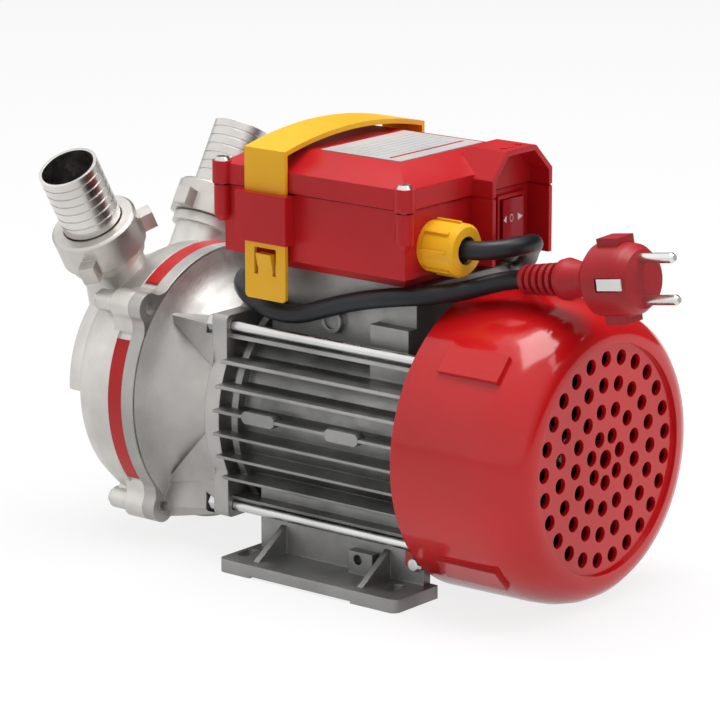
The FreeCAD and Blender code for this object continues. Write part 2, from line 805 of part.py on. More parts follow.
def boss_webs(name, start, end):
    """A short wall under each boss, down to the drum."""
    webs = []
    for index, cx, cz, angle in lug_places():
        arm = block("%s_%d" % (name, index), "lug_pitch_radius - 14", "lug_pitch_radius",
                    start, end, "-lug_boss_radius + 1.2", "lug_boss_radius - 1.2")
        turn = math.degrees(math.atan2(-cz, cx))
        webs.append(moved("%s_turned_%d" % (name, index), arm, 0, 0, "shaft_height", (0, 1, 0), turn))
    return webs


def bolt_holes(name, start, end, radius="bolt_radius + 0.3"):
    return [rod("%s_bolt_hole_%d" % (name, index), "y", radius, start, end,
                "lug_pitch_radius * %.6f" % cx, "shaft_height + lug_pitch_radius * %.6f" % cz)
            for index, cx, cz, angle in lug_places()]


def make_bracket():
    start = "housing_pump_end"
    flange = "housing_pump_end + flange_thick"
    trumpet = turning("trumpet", [
        (start, 0), ("joint_y", 0), ("joint_y", "disc_radius"), ("disc_rear + 0.8", "disc_radius"),
        ("disc_rear - 0.6", "disc_radius - 2"), ("disc_rear - 2.8", "disc_radius - 6"),
        ("disc_rear - 6.5", "disc_radius - 10.5"), ("disc_rear - 15", "neck_radius + 5.5"),
        ("disc_rear - 27", "neck_radius + 1.2"), (flange, "neck_radius"), (start, "neck_radius")])
    pieces = [trumpet] + square_flange("flange", start, flange, "flange_radius")
    pieces += casing_lugs("bracket", "disc_rear", "joint_y", "disc_radius - 0.02")
    for index, (sx, sz) in enumerate(((-1, -1), (-1, 1), (1, -1), (1, 1))):
        pieces.append(corner_rib("rib_%d" % index, sx, sz))
        if sz < 0:
            pieces.append(corner_block("corner_block_%d" % index, sx))
    tools = [
        rod("bracket_shaft_hole", "y", "shaft_radius + 1", start, "joint_y - 5", 0, "shaft_height"),
        rod("bracket_bearing_seat", "y", "bearing_outer", start + " - 5",
            "front_bearing_y + bearing_wide", 0, "shaft_height"),
        rod("bracket_spigot", "y", "bearing_outer + 12", start + " - 5", start + " + 2", 0,
            "shaft_height"),
        rod("bracket_lantern", "y", "neck_radius - 8", "front_bearing_y + bearing_wide + 4",
            "joint_y - 16", 0, "shaft_height"),
        rod("bracket_seal_seat", "y", "seal_seat_radius", "joint_y - 10", "joint_y + 1", 0,
            "shaft_height"),
    ]
    tools += rod_holes("flange", start + " - 5", flange + " + 1")
    for index, (sx, sz) in enumerate(((-1, -1), (-1, 1), (1, -1), (1, 1))):
        tools.append(rod("nut_pocket_%d" % index, "y", "rod_nut_radius + 1.4", flange,
                         flange + " + rod_nut_thick + 2", "%d * rod_x" % sx,
                         "shaft_height + %d * rod_z" % sz))
    tools += bolt_holes("bracket", "disc_rear - 3", "joint_y + 1", "bolt_radius + 0.02")
    node("pump_bracket", cut("bracket_cut", fuse("bracket_fused", pieces), tools))


def corner_rib(name, sx, sz):
    """A three-sided gusset from a corner of the square flange to the back of the casing disc."""
    flange = value("housing_pump_end + flange_thick") - 1
    ear_x = value("rod_x")
    ear_z = value("rod_z")
    axis = value("shaft_height")
    disc = value("disc_rear") + 1
    reach = value("disc_radius") - 9
    neck = value("neck_radius") - 6
    if sz > 0:
        spots = [(ear_x + 7, ear_z - 20.5), (ear_x - 14, ear_z + 1), (ear_x + 4, ear_z - 1)]
        tip_x, tip_z = reach * 0.71, reach * 0.71
    else:
        spots = [(ear_x + 10, ear_z - 39), (ear_x - 14, ear_z + 1), (ear_x + 5, ear_z - 12)]
        tip_x, tip_z = reach * 0.754, reach * 0.72
    spots.append((neck * 0.5, neck * 0.5))
    corners = [FreeCAD.Vector(sx * x, flange, axis + sz * z) for x, z in spots]
    tip = FreeCAD.Vector(sx * tip_x, disc, axis + sz * tip_z)
    faces = []
    for a, b in ((0, 2), (2, 1), (1, 3), (3, 0)):
        faces.append(Part.Face(Part.makePolygon([corners[a], corners[b], tip, corners[a]])))
    for a, b, c in ((0, 2, 3), (2, 1, 3)):
        faces.append(Part.Face(Part.makePolygon([corners[a], corners[b], corners[c], corners[a]])))
    rib = doc.addObject("Part::Feature", name)
    rib.Shape = Part.Solid(Part.Shell(faces))
    if rib.Shape.Volume < 0:
        rib.Shape = rib.Shape.reversed()
    return rib


def corner_block(name, sx):
    """The solid foot of the bracket between a lower flange corner and the lug below it."""
    axis = value("shaft_height")
    edge_x = value("rod_x + flange_edge")
    corner = value("flange_corner")
    low = value("shaft_height - rod_z - flange_edge")
    lug_x = value("lug_pitch_radius") * math.sin(math.radians(sizes["lug_turn"]))
    lug_z = axis - value("lug_pitch_radius") * math.cos(math.radians(sizes["lug_turn"]))
    sections = []
    for y, spots in (
        (value("housing_pump_end + flange_thick") - 1,
         [(edge_x, low + 18), (edge_x, low + corner), (edge_x - corner, low),
          (edge_x - 22, low), (edge_x - 26, low + 18)]),
        (value("disc_rear") + 1,
         [(lug_x - 3.5, lug_z + 15), (lug_x - 0.2, lug_z + 0.5), (lug_x - 3, lug_z - 5.5),
          (lug_x - 14, lug_z - 5), (lug_x - 18, lug_z + 15)]),
    ):
        points = [FreeCAD.Vector(sx * x, y, z) for x, z in spots]
        sections.append(Part.makePolygon(points + [points[0]]))
    body = doc.addObject("Part::Feature", name)
    body.Shape = Part.makeLoft(sections, True, True)
    return body


def port_bar(name, radius, start, end, side, second=None):
    """A round bar or taper on a port's own axis; side is -1 for the near port, 1 for the far."""
    kind = "Part::Cylinder" if second is None else "Part::Cone"
    bar = doc.addObject(kind, name)
    if second is None:
        bar.setExpression("Radius", bound(radius))
    else:
        bar.setExpression("Radius1", bound(radius))
        bar.setExpression("Radius2", bound(second))
    bar.setExpression("Height", bound("(%s) - (%s)" % (end, start)))
    place_on_port(bar, start, side)
    return bar


def place_on_port(thing, start, side, spin=0):
    tilt = FreeCAD.Rotation(FreeCAD.Vector(0, 1, 0), side * sizes["port_splay"])
    thing.Placement.Rotation = tilt * FreeCAD.Rotation(FreeCAD.Vector(0, 0, 1), spin)
    set_base(thing, "%d * (%s) * sin(port_splay)" % (side, start), "port_y",
             "shaft_height + (%s) * cos(port_splay)" % start)


def front_lugs(start):
    """The front casing's lugs without the disc between them, so that the band groove stays."""
    plate = casing_lugs("front", start, "lug_block_front", "disc_radius - band_thick - 1")
    sectors = []
    for index, cx, cz, angle in lug_places():
        bar = block("front_lug_keep_%d" % index, "30", "lug_pitch_radius + 12", start + " - 1",
                    "lug_block_front + 1", "-lug_pad_radius", "lug_pad_radius")
        turn = math.degrees(math.atan2(-cz, cx))
        sectors.append(moved("front_lug_kept_%d" % index, bar, 0, 0, "shaft_height", (0, 1, 0), turn))
    kept = common("front_lugs_kept", plate[0], fuse("front_lug_sectors", sectors))
    return [kept]


def make_front_casing():
    start = "joint_y"
    groove = "disc_radius - band_thick"
    band_end = "joint_y + band_wide"
    drum = turning("front_drum", [
        (start, 0), ("drum_front", 0), ("drum_front", "drum_front_radius - 1.5"),
        ("drum_front - 1.5", "drum_front_radius"), ("drum_front - 6", "drum_front_radius + 2.2"),
        ("drum_front - 14", "disc_radius - 1.6"), (band_end, "disc_radius"), (band_end, groove),
        (start, groove)])
    chamber_round = turning("chamber_round", [
        ("drum_front - 8", 0), ("chamber_front", 0), ("chamber_front", "chamber_radius - 4"),
        ("chamber_front - 1.2", "chamber_radius - 1.2"), ("chamber_front - 4", "chamber_radius"),
        ("drum_front - 8", "chamber_radius")])
    chamber = common("chamber_half", chamber_round,
                     block("chamber_keep", "-chamber_radius", "chamber_radius", "drum_front - 8",
                           "chamber_front", "chamber_floor", "shaft_height + chamber_radius"))
    pieces = [drum, chamber]
    pieces += front_lugs(start)
    pieces += boss_bars("front_boss", "lug_boss_radius", start, "lug_front")
    pieces += boss_webs("front_boss_web", "lug_block_front - 2", "lug_front - 2")
    tools = [rod("impeller_room", "y", "impeller_room_radius", start + " - 5",
                 start + " + impeller_room_deep", 0, "shaft_height"),
             cut("seal_groove", rod("seal_groove_out", "y", "impeller_room_radius + 6", start + " - 5",
                                    start + " + 1.5", 0, "shaft_height"),
                 [rod("seal_groove_in", "y", "impeller_room_radius + 3", start + " - 6",
                      start + " + 2", 0, "shaft_height")])]
    for side, tag in ((-1, "near"), (1, "far")):
        pieces.append(port_bar("neck_" + tag, "port_neck_radius", 30, "port_lip_low + 1", side))
        pieces.append(port_bar("neck_root_" + tag, "port_neck_radius + 5", 40, 62, side,
                               "port_neck_radius"))
        pieces.append(port_bar("lip_" + tag, "port_lip_radius", "port_lip_low", "port_lip_high", side))
        pieces.append(port_bar("thread_" + tag, "port_thread_radius", "port_lip_high - 1",
                               "port_face", side))
        tools.append(port_bar("port_bore_" + tag, "port_bore", 36, "port_face + 10", side))
        tools.append(rod("port_window_" + tag, "y", 9, start + " + impeller_room_deep - 3",
                         "port_y", "%d * 24" % side, "shaft_height + 30"))
    tools += bolt_holes("front", start + " - 5", "lug_front + 20")
    tools += bolt_holes("front_head", "lug_front", "lug_front + 20", "bolt_head_radius + 0.6")
    body = fuse("front_fused", pieces)
    trimmed = cut("front_cut", body, tools)
    node("front_casing", trimmed)
    node("casing_seal", cut("casing_seal_cut",
                            rod("casing_seal_out", "y", "impeller_room_radius + 5.8", start,
                                start + " + 1.5", 0, "shaft_height"),
                            [rod("casing_seal_in", "y", "impeller_room_radius + 3.2",
                                 start + " - 1", start + " + 3", 0, "shaft_height")]))
    band = cut("band_ring", rod("band_out", "y", "disc_radius", start, band_end, 0, "shaft_height"),
               [rod("band_in", "y", groove, start + " - 1", band_end + " + 1", 0, "shaft_height")])
    keep_out = []
    for index, cx, cz, angle in lug_places():
        wide = "lug_pad_radius + 0.2"
        bar = block("band_gap_%d" % index, "30", "lug_pitch_radius + 12", start + " - 2",
                    band_end + " + 2", "-(%s)" % wide, wide)
        turn = math.degrees(math.atan2(-cz, cx))
        keep_out.append(moved("band_gap_turned_%d" % index, bar, 0, 0, "shaft_height", (0, 1, 0),
                              turn))
    node("casing_bands", cut("band_cut", band, keep_out))


def make_casing_bolts():
    bolts = []
    for index, cx, cz, angle in lug_places():
        x = "lug_pitch_radius * %.6f" % cx
        z = "shaft_height + lug_pitch_radius * %.6f" % cz
        shank = rod("bolt_shank_%d" % index, "y", "bolt_radius", "disc_rear", "lug_front + 1", x, z)
        head = rod("bolt_head_%d" % index, "y", "bolt_head_radius", "lug_front",
                   "lug_front + bolt_head_deep", x, z)
        socket = doc.addObject("Part::Prism", "bolt_socket_%d" % index)
        socket.Polygon = 6
        socket.Circumradius = 1.9
        socket.Height = 5
        turned_to(socket, (1, 0, 0), -90)
        set_base(socket, x, "lug_front + bolt_head_deep - 1.6", z)
        bolts.append(cut("casing_bolt_%d" % index, fuse("bolt_fused_%d" % index, [shank, head]),
                         [socket]))
    node("casing_bolts", group("casing_bolt_set", bolts))


def make_impeller():
    start = "joint_y + impeller_side_gap"
    end = "joint_y + impeller_room_deep - impeller_side_gap"
    hub = rod("impeller_hub", "y", 14, start, end, 0, "shaft_height")
    web = rod("impeller_web", "y", 30, start + " + 5", end + " - 5", 0, "shaft_height")
    pieces = [hub, web]
    for index in range(sizes["impeller_blades"]):
        blade = block("impeller_blade_%d" % index, 12, "impeller_radius", start, end, -1.6, 1.6)
        pieces.append(moved("impeller_blade_turned_%d" % index, blade, 0, 0, "shaft_height",
                            (0, 1, 0), 360.0 / sizes["impeller_blades"] * index))
    bore = rod("impeller_bore", "y", "pump_shaft_radius", start + " - 1", end + " + 1", 0,
               "shaft_height")
    node("impeller", cut("impeller_cut", fuse("impeller_fused", pieces), [bore]))
    seat = cut("seal_seat_ring",
               rod("seal_ring_out", "y", "seal_seat_radius", "joint_y - 10", "joint_y - 4", 0,
                   "shaft_height"),
               [rod("seal_ring_in", "y", "pump_shaft_radius + 0.6", "joint_y - 12", "joint_y", 0,
                    "shaft_height")])
    node("shaft_seal_seat", seat)
    head = cut("seal_head_ring",
               rod("seal_head_out", "y", 10.5, "joint_y - 3.9", "joint_y + impeller_side_gap", 0,
                   "shaft_height"),
               [rod("seal_head_in", "y", "pump_shaft_radius", "joint_y - 6", "joint_y + 2", 0,
                    "shaft_height")])
    node("shaft_seal_head", head)


def make_port_fittings(side, tag):
    flange_low = "port_face + gasket_thick"
    flange_high = "port_face + gasket_thick + tail_flange_thick"
    tube = [port_bar("tail_tube_" + tag, "tail_radius", flange_low, "tail_top", side),
            port_bar("tail_flange_" + tag, "port_thread_radius", flange_low, flange_high, side)]
    tools = [port_bar("tail_bore_" + tag, "tail_bore", flange_low + " - 5", "tail_top + 5", side),
             cut("tail_neck_" + tag,
                 port_bar("tail_neck_out_" + tag, "tail_radius + 4", flange_high, "tail_neck_end", side),
                 [port_bar("tail_neck_in_" + tag, "tail_radius - 0.3", flange_high + " - 5",
                           "tail_neck_end + 5", side)])]
    for index in range(sizes["tail_grooves"]):
        top = "tail_top - 3.7 - %d * tail_groove_pitch" % index
        tools.append(cut("tail_groove_%s_%d" % (tag, index),
                         port_bar("tail_groove_out_%s_%d" % (tag, index), "tail_radius + 2",
                                  top + " - 0.8", top, side),
                         [port_bar("tail_groove_in_%s_%d" % (tag, index),
                                   "tail_radius - tail_groove_deep", top + " - 2", top + " + 2",
                                   side)]))
    node("hose_tail_" + tag, cut("tail_cut_" + tag, fuse("tail_fused_" + tag, tube), tools))
    ring = port_bar("nut_ring_" + tag, "nut_radius", "nut_low", "nut_high - 1.2", side)
    crown = port_bar("nut_crown_" + tag, "nut_radius", "nut_high - 1.2", "nut_high", side,
                     "nut_radius - 1.2")
    lugs = []
    for index in range(3):
        lug = doc.addObject("Part::Box", "nut_lug_%s_%d" % (tag, index))
        lug.setExpression("Length", bound("nut_radius + nut_lug_out - 17"))
        lug.setExpression("Width", bound("nut_lug_wide"))
        lug.setExpression("Height", bound("nut_lug_tall"))
        set_base(lug, "port_thread_radius + nut_clear + 1.5", "-nut_lug_wide / 2", 0)
        lug.setExpression("Length", bound(
            "nut_radius + nut_lug_out - port_thread_radius - nut_clear - 1.5"))
        spun = doc.addObject("Part::Compound", "nut_lug_spun_%s_%d" % (tag, index))
        spun.Links = [lug]
        place_on_port(spun, "nut_low", side, 120 * index + (205 if side < 0 else 180))
        lugs.append(spun)
    seat = flange_high + " + nut_clear"
    hollow = [port_bar("nut_thread_" + tag, "port_thread_radius + nut_clear", "nut_low - 5", seat,
                       side),
              port_bar("nut_mouth_" + tag, "tail_radius + nut_clear + 0.1", "nut_low", "nut_high + 5",
                       side)]
    node("union_nut_" + tag, cut("nut_cut_" + tag, fuse("nut_fused_" + tag, [ring, crown] + lugs),
                                 hollow))
    gasket = cut("port_gasket_cut_" + tag,
                 port_bar("port_gasket_out_" + tag, "port_thread_radius - 0.5", "port_face",
                          flange_low, side),
                 [port_bar("port_gasket_in_" + tag, "tail_bore", "port_face - 5", flange_low + " + 5",
                           side)])
    node("port_gasket_" + tag, gasket)


# Switch box

def corner_places():
    """The four lid screws, as (name, x, y)."""
    x = "(box_half + 1)"
    fan = "-(box_fan_end + 0.5)"
    pump = "(box_pump_end + 0.5)"
    return [("near_fan", "-" + x, fan), ("near_pump", "-" + x, pump),
            ("far_fan", x, fan), ("far_pump", x, pump)]


def make_box_base():
    shell = block("tray_block", "-box_half", "box_half", "-box_fan_end", "box_pump_end", "box_floor",
                  "box_split")
    plinth = block("plinth", "-plinth_half", "plinth_half", "-box_fan_end + plinth_inset",
                   "box_pump_end - plinth_inset - 2", "pedestal_top", "box_floor + 0.5")
    pieces = [shell, plinth]
    tools = [block("tray_hollow", "-box_half + box_wall", "box_half - box_wall",
                   "-box_fan_end + box_wall", "box_pump_end - box_wall", "box_floor + box_wall",
                   "box_split + 5"),
             rod("tray_lead_hole", "z", 9, "pedestal_top - 5", "box_floor + 8", 0, 0),
             rod("gland_hole", "y", "gland_radius - 1.5", "-box_fan_end - 5",
                 "-box_fan_end + box_wall + 5", "gland_x", "gland_z"),
             block("switch_hole", "switch_x - switch_wide / 2 + 1", "switch_x + switch_wide / 2 - 1",
                   "-box_fan_end - 5", "-box_fan_end + 5", "switch_z - switch_tall / 2 + 1",
                   "switch_z + switch_tall / 2 - 1")]
    for tag, x, y in corner_places():
        pieces.append(rod("base_boss_" + tag, "z", "base_boss_radius", "base_boss_low + 3",
                          "box_split", x, y))
        pieces.append(cone("base_boss_tip_" + tag, "z", "base_boss_radius - 2", "base_boss_radius",
                           "base_boss_low", "base_boss_low + 3", x, y))
        tools.append(rod("base_screw_hole_" + tag, "z", 1.8, "base_boss_low + 5", "box_split + 5",
                         x, y))
    for side, sx in (("near", -1), ("far", 1)):
        face, out = ("-bridge_out", "-box_half + 1") if sx < 0 else ("box_half - 1", "bridge_out")
        pieces.append(block("bridge_" + side, face, out, "strap_y - bridge_wide / 2",
                            "strap_y + bridge_wide / 2", "bridge_low", "bridge_high"))
        inner = "strap_inner - strap_clear"
        outer = "strap_inner + strap_thick + strap_clear"
        x0, x1 = ("-(%s)" % outer, "-(%s)" % inner) if sx < 0 else (inner, outer)
        tools.append(block("bridge_slot_" + side, x0, x1, "strap_y - strap_wide / 2 - strap_clear",
                           "strap_y + strap_wide / 2 + strap_clear", "bridge_low - 5",
                           "bridge_high + 5"))
    front = "-box_fan_end - hood_reach"
    for tag, x0, x1 in (("near", "hood_near", "hood_near + hood_wall"),
                        ("far", "hood_far - hood_wall", "hood_far")):
        pieces.append(block("hood_cheek_" + tag, x0, x1, front, "-box_fan_end + 1", "box_floor",
                            "lid_low - 1"))
    node("box_base", cut("box_base_cut", fuse("box_base_fused", pieces), tools))


def make_lid():
    low = ("-box_half - lid_over", "box_half + lid_over", "-box_fan_end - 1.5", "box_pump_end + 1.5")
    skirt = block("lid_skirt", low[0], low[1], low[2], low[3], "lid_low", "lid_shoulder")
    top = ("-roof_half", "roof_half", low[2] + " + roof_inset", low[3] + " - roof_inset")
    roof = frustum("lid_roof", low, top, "lid_shoulder", "roof_z")
    wall = "box_wall"
    inside = tuple("%s %s %s" % (edge, "+" if index in (0, 2) else "-", wall)
                   for index, edge in enumerate(low))
    inside_top = tuple("%s %s %s" % (edge, "+" if index in (0, 2) else "-", wall)
                       for index, edge in enumerate(top))
    hollow = [block("lid_hollow", inside[0], inside[1], inside[2], inside[3], "lid_low - 5",
                    "lid_shoulder - 1"),
              frustum("lid_roof_hollow", inside, inside_top, "lid_shoulder - 1.5",
                      "roof_z - box_wall")]
    pieces = [skirt, roof]
    tools = list(hollow)
    for tag, x, y in corner_places():
        pieces.append(rod("lid_boss_" + tag, "z", "lid_boss_radius", "lid_low", "lid_boss_top", x, y))
        tools.append(rod("lid_screw_hole_" + tag, "z", 2.1, "lid_low - 5", "lid_boss_top + 5", x, y))
        tools.append(rod("lid_screw_seat_" + tag, "z", 4.3, "lid_boss_top", "lid_boss_top + 8", x, y))
    front = "-box_fan_end - hood_reach"
    shape = [("hood_near", "lid_low"), ("hood_near", "hood_eave"),
             ("hood_near + hood_slope", "hood_top"), ("hood_far - hood_slope - 2", "hood_top"),
             ("hood_far", "hood_eave"), ("hood_far", "lid_low")]
    room = [("hood_near + hood_wall", "lid_low - 2"),
            ("hood_near + hood_wall", "hood_eave - 1"),
            ("hood_near + hood_slope + 1.2", "hood_top - hood_wall"),
            ("hood_far - hood_slope - 3.2", "hood_top - hood_wall"),
            ("hood_far - hood_wall", "hood_eave - 1"), ("hood_far - hood_wall", "lid_low - 2")]
    hood = slab("hood_outline", "XZ_Plane", shape, front, "-box_fan_end + 10")
    hood_room = slab("hood_room", "XZ_Plane", room, front + " - 5", low[2])
    attic = block("hood_attic", "hood_near", "hood_far", inside[2], "-box_fan_end + 30",
                  "lid_low - 1", "lid_shoulder - 1")
    node("box_lid", cut("lid_cut", fuse("lid_fused", pieces + [hood]), tools + [hood_room, attic]))
    ring = cut("lid_gasket_cut",
               block("gasket_block", "-box_half", "box_half", "-box_fan_end", "box_pump_end",
                     "box_split", "lid_low"),
               [block("gasket_hollow", "-box_half + box_wall", "box_half - box_wall",
                      "-box_fan_end + box_wall", "box_pump_end - box_wall", "box_split - 2",
                      "lid_low + 2")])
    holes = [rod("gasket_hole_" + tag, "z", 2.4, "box_split - 5", "lid_low + 5", x, y)
             for tag, x, y in corner_places()]
    node("lid_gasket", cut("lid_gasket_holed", ring, holes))
    screws = []
    for tag, x, y in corner_places():
        head = cone("screw_head_" + tag, "z", 3.9, 2.9, "lid_boss_top", "lid_boss_top + 1.8", x, y)
        shank = rod("screw_shank_" + tag, "z", 1.8, "base_boss_low + 6", "lid_boss_top + 0.5", x, y)
        slot = block("screw_slot_" + tag, "(%s) - 2.2" % x, "(%s) + 2.2" % x, "(%s) - 0.5" % y,
                     "(%s) + 0.5" % y, "lid_boss_top + 0.9", "lid_boss_top + 4")
        screws.append(cut("lid_screw_" + tag, fuse("screw_fused_" + tag, [head, shank]), [slot]))
    node("lid_screws", group("lid_screw_set", screws))
    node("rating_plate", block("plate_block", "-roof_half + 3", "roof_half - 3",
                               low[2] + " + roof_inset + 2", "strap_y - strap_wide / 2 - 4",
                               "roof_z", "roof_z + 0.4"))


def make_box_inside():
    inside = "-box_fan_end + box_wall"
    node("capacitor", rod("capacitor_can", "y", "capacitor_radius",
                          "box_pump_end - box_wall - 2 - capacitor_long",
                          "box_pump_end - box_wall - 2",
                          "box_half - box_wall - capacitor_clear - capacitor_radius",
                          "box_floor + box_wall + capacitor_radius + 0.1"))
    node("terminal_block", block("terminal_body", "-terminal_inset - terminal_wide",
                                 "-terminal_inset", "-terminal_back",
                                 "terminal_long - terminal_back", "box_floor + box_wall",
                                 "box_floor + box_wall + terminal_tall"))
    face = "-box_fan_end"
    bezel = block("bezel_block", "switch_x - switch_wide / 2", "switch_x + switch_wide / 2",
                  face + " - switch_bezel", face, "switch_z - switch_tall / 2",
                  "switch_z + switch_tall / 2")
    can = block("switch_can", "switch_x - switch_wide / 2 + 1.2", "switch_x + switch_wide / 2 - 1.2",
                face, inside + " + 16", "switch_z - switch_tall / 2 + 1.2",
                "switch_z + switch_tall / 2 - 1.2")
    well = block("switch_well", "switch_x - rocker_wide / 2 - 0.6", "switch_x + rocker_wide / 2 + 0.6",
                 face + " - 5", face + " + 6", "switch_z - rocker_tall / 2 - 0.4",
                 "switch_z + rocker_tall / 2 + 0.4")
    node("switch_body", cut("switch_body_cut", fuse("switch_fused", [bezel, can]), [well]))
    half = "rocker_wide / 2 - 0.3"
    rocker = slab("rocker_outline", "XY_Plane", [
        ("switch_x - (%s)" % half, face + " - 3.2"), ("switch_x - 3", face + " - 2.1"),
        ("switch_x + 3", face + " - 2.1"), ("switch_x + (%s)" % half, face + " - 3.2"),
        ("switch_x + (%s)" % half, face + " + 1.5"), ("switch_x + 4", face + " + 4"),
        ("switch_x - 4", face + " + 4"), ("switch_x - (%s)" % half, face + " + 1.5")],
        "switch_z - rocker_tall / 2", "switch_z + rocker_tall / 2")
    node("switch_rocker", rocker)


def make_gland():
    face = "-box_fan_end"
    body = fuse("gland_body_fused", [
        rod("gland_flange", "y", "gland_nut_radius - 1", "-gland_nut_rear + 0.4", face, "gland_x",
            "gland_z"),
        rod("gland_thread", "y", "gland_radius", "-gland_nut_front + 6", "-gland_nut_rear + 1",
            "gland_x", "gland_z"),
        rod("gland_tail", "y", "gland_radius - 1.6", face, face + " + box_wall + 6", "gland_x",
            "gland_z")])
    node("gland_body", cut("gland_body_cut", body, [
        rod("gland_way", "y", "cord_radius + 1.2", "-gland_nut_front", face + " + 20", "gland_x",
            "gland_z")]))
    nut = rod("gland_nut_ring", "y", "gland_nut_radius - 0.6", "-gland_nut_front + 1.5",
              "-gland_nut_rear", "gland_x", "gland_z")
    nose = cone("gland_nut_nose", "y", "gland_nut_radius - 2", "gland_nut_radius - 0.6",
                "-gland_nut_front", "-gland_nut_front + 1.5", "gland_x", "gland_z")
    pieces = [nut, nose]
    for index in range(8):
        rib = block("gland_rib_%d" % index, "gland_nut_radius - 2.5", "gland_nut_radius + 0.4",
                    "-gland_nut_front + 3.5", "-gland_nut_rear", -0.8, 0.8)
        pieces.append(moved("gland_rib_turned_%d" % index, rib, "gland_x", 0, "gland_z", (0, 1, 0),
                            45 * index))
    node("gland_nut", cut("gland_nut_cut", fuse("gland_nut_fused", pieces), [
        rod("gland_nut_hollow", "y", "gland_radius + 0.3", "-gland_nut_front + 2.5",
            "-gland_nut_rear + 5", "gland_x", "gland_z"),
        rod("gland_nut_mouth", "y", "gland_mouth", "-gland_nut_front - 5", "-gland_nut_rear",
            "gland_x", "gland_z")]))
    node("gland_seal", cut("gland_seal_cut",
                           rod("gland_seal_out", "y", "gland_mouth + 1", "-gland_nut_front + 2.8",
                               "-gland_nut_front + 5.8", "gland_x", "gland_z"),
                           [rod("gland_seal_in", "y", "cord_radius", "-gland_nut_front - 5",
                                "-gland_nut_front + 8", "gland_x", "gland_z")]))


def make_strap():
    inner = "strap_inner"
    outer = "strap_inner + strap_thick"
    y0, y1 = "strap_y - strap_wide / 2", "strap_y + strap_wide / 2"
    rise = "(strap_crown - strap_shoulder)"
    sweep = "((%s)^2 + %s^2) / (2 * %s)" % (outer, rise, rise)
    middle = "strap_crown - " + sweep
    arch_out = rod("arch_out", "y", sweep, y0, y1, 0, middle)
    arch_in = rod("arch_in", "y", sweep + " - strap_thick - 0.4", y0 + " - 5", y1 + " + 5", 0, middle)
    window = block("arch_keep", "-(%s)" % outer, outer, y0, y1, "strap_shoulder - 2.4",
                   "strap_crown + 5")
    arch = common("arch", cut("arch_ring", arch_out, [arch_in]), window)
    pieces = [arch]
    tools = []
    for side, sx in (("near", -1), ("far", 1)):
        x0, x1 = ("-(%s)" % outer, "-(%s)" % inner) if sx < 0 else (inner, outer)
        leg = block("leg_block_" + side, x0, x1, y0, y1, "strap_low", "strap_shoulder - 0.5")
        pieces.append(rounded("leg_" + side, leg, "strap_corner", lambda edge: runs_along(
            edge, 0) and abs(edge.Vertexes[0].Z - value("strap_low")) < 0.01))
        for edge, a, b in (("pump", "strap_y + tongue_wide / 2", "strap_y + window_wide / 2"),
                           ("fan", "strap_y - window_wide / 2", "strap_y - tongue_wide / 2")):
            tools.append(block("window_%s_%s" % (side, edge), "%s - 2" % x0, "%s + 2" % x1, a, b,
                               "window_low", "window_high"))
        tools.append(block("window_top_" + side, "%s - 2" % x0, "%s + 2" % x1,
                           "strap_y - window_wide / 2", "strap_y + window_wide / 2",
                           "bridge_low - strap_lift - 0.3", "window_high"))
        barb = slab("barb_" + side, "XZ_Plane", [
            ("%d * (strap_inner + strap_thick - 0.2)" % sx, "window_low + 2"),
            ("%d * (strap_inner + strap_thick - 0.2)" % sx, "bridge_low - strap_lift - 0.3"),
            ("%d * (strap_inner + strap_thick + 1.8)" % sx, "bridge_low - strap_lift - 0.3")],
            "strap_y - tongue_wide / 2", "strap_y + tongue_wide / 2")
        pieces.append(barb)
    node("carry_strap", cut("strap_cut", fuse("strap_fused", pieces), tools))


# Mains lead: straight runs joined by arcs, through points chosen along its real route

cord_points = [
    (-28, -59.4, 166), (-28, -70, 166), (-25, -83, 166.9), (-15.5, -93, 167.9), (-2, -97, 167.2),
    (11.5, -93.5, 164.2), (21.5, -83.5, 160), (29.5, -70, 154.5), (38.3, -55, 148.3),
    (45.2, -38, 143.6), (46.2, -17, 140.6), (46, 6, 138.4), (45.5, 28, 136.3), (44.6, 47, 135.2),
    (38.5, 63.5, 134.5), (25, 76, 134.3), (6.5, 81.5, 134.6), (-12, 80, 133.6), (-28, 72.5, 132.2),
    (-39, 59.5, 129.4), (-43.8, 42.5, 125.4), (-43.5, 25, 124.6), (-43.8, 6, 131.4),
    (-44.2, -15, 138.2), (-44.6, -35, 142.6), (-40, -52, 144.9), (-30, -63.5, 146.8),
    (-19.5, -71.5, 149.6), (-14.8, -81, 152.4), (-15.3, -90, 153.8),
]


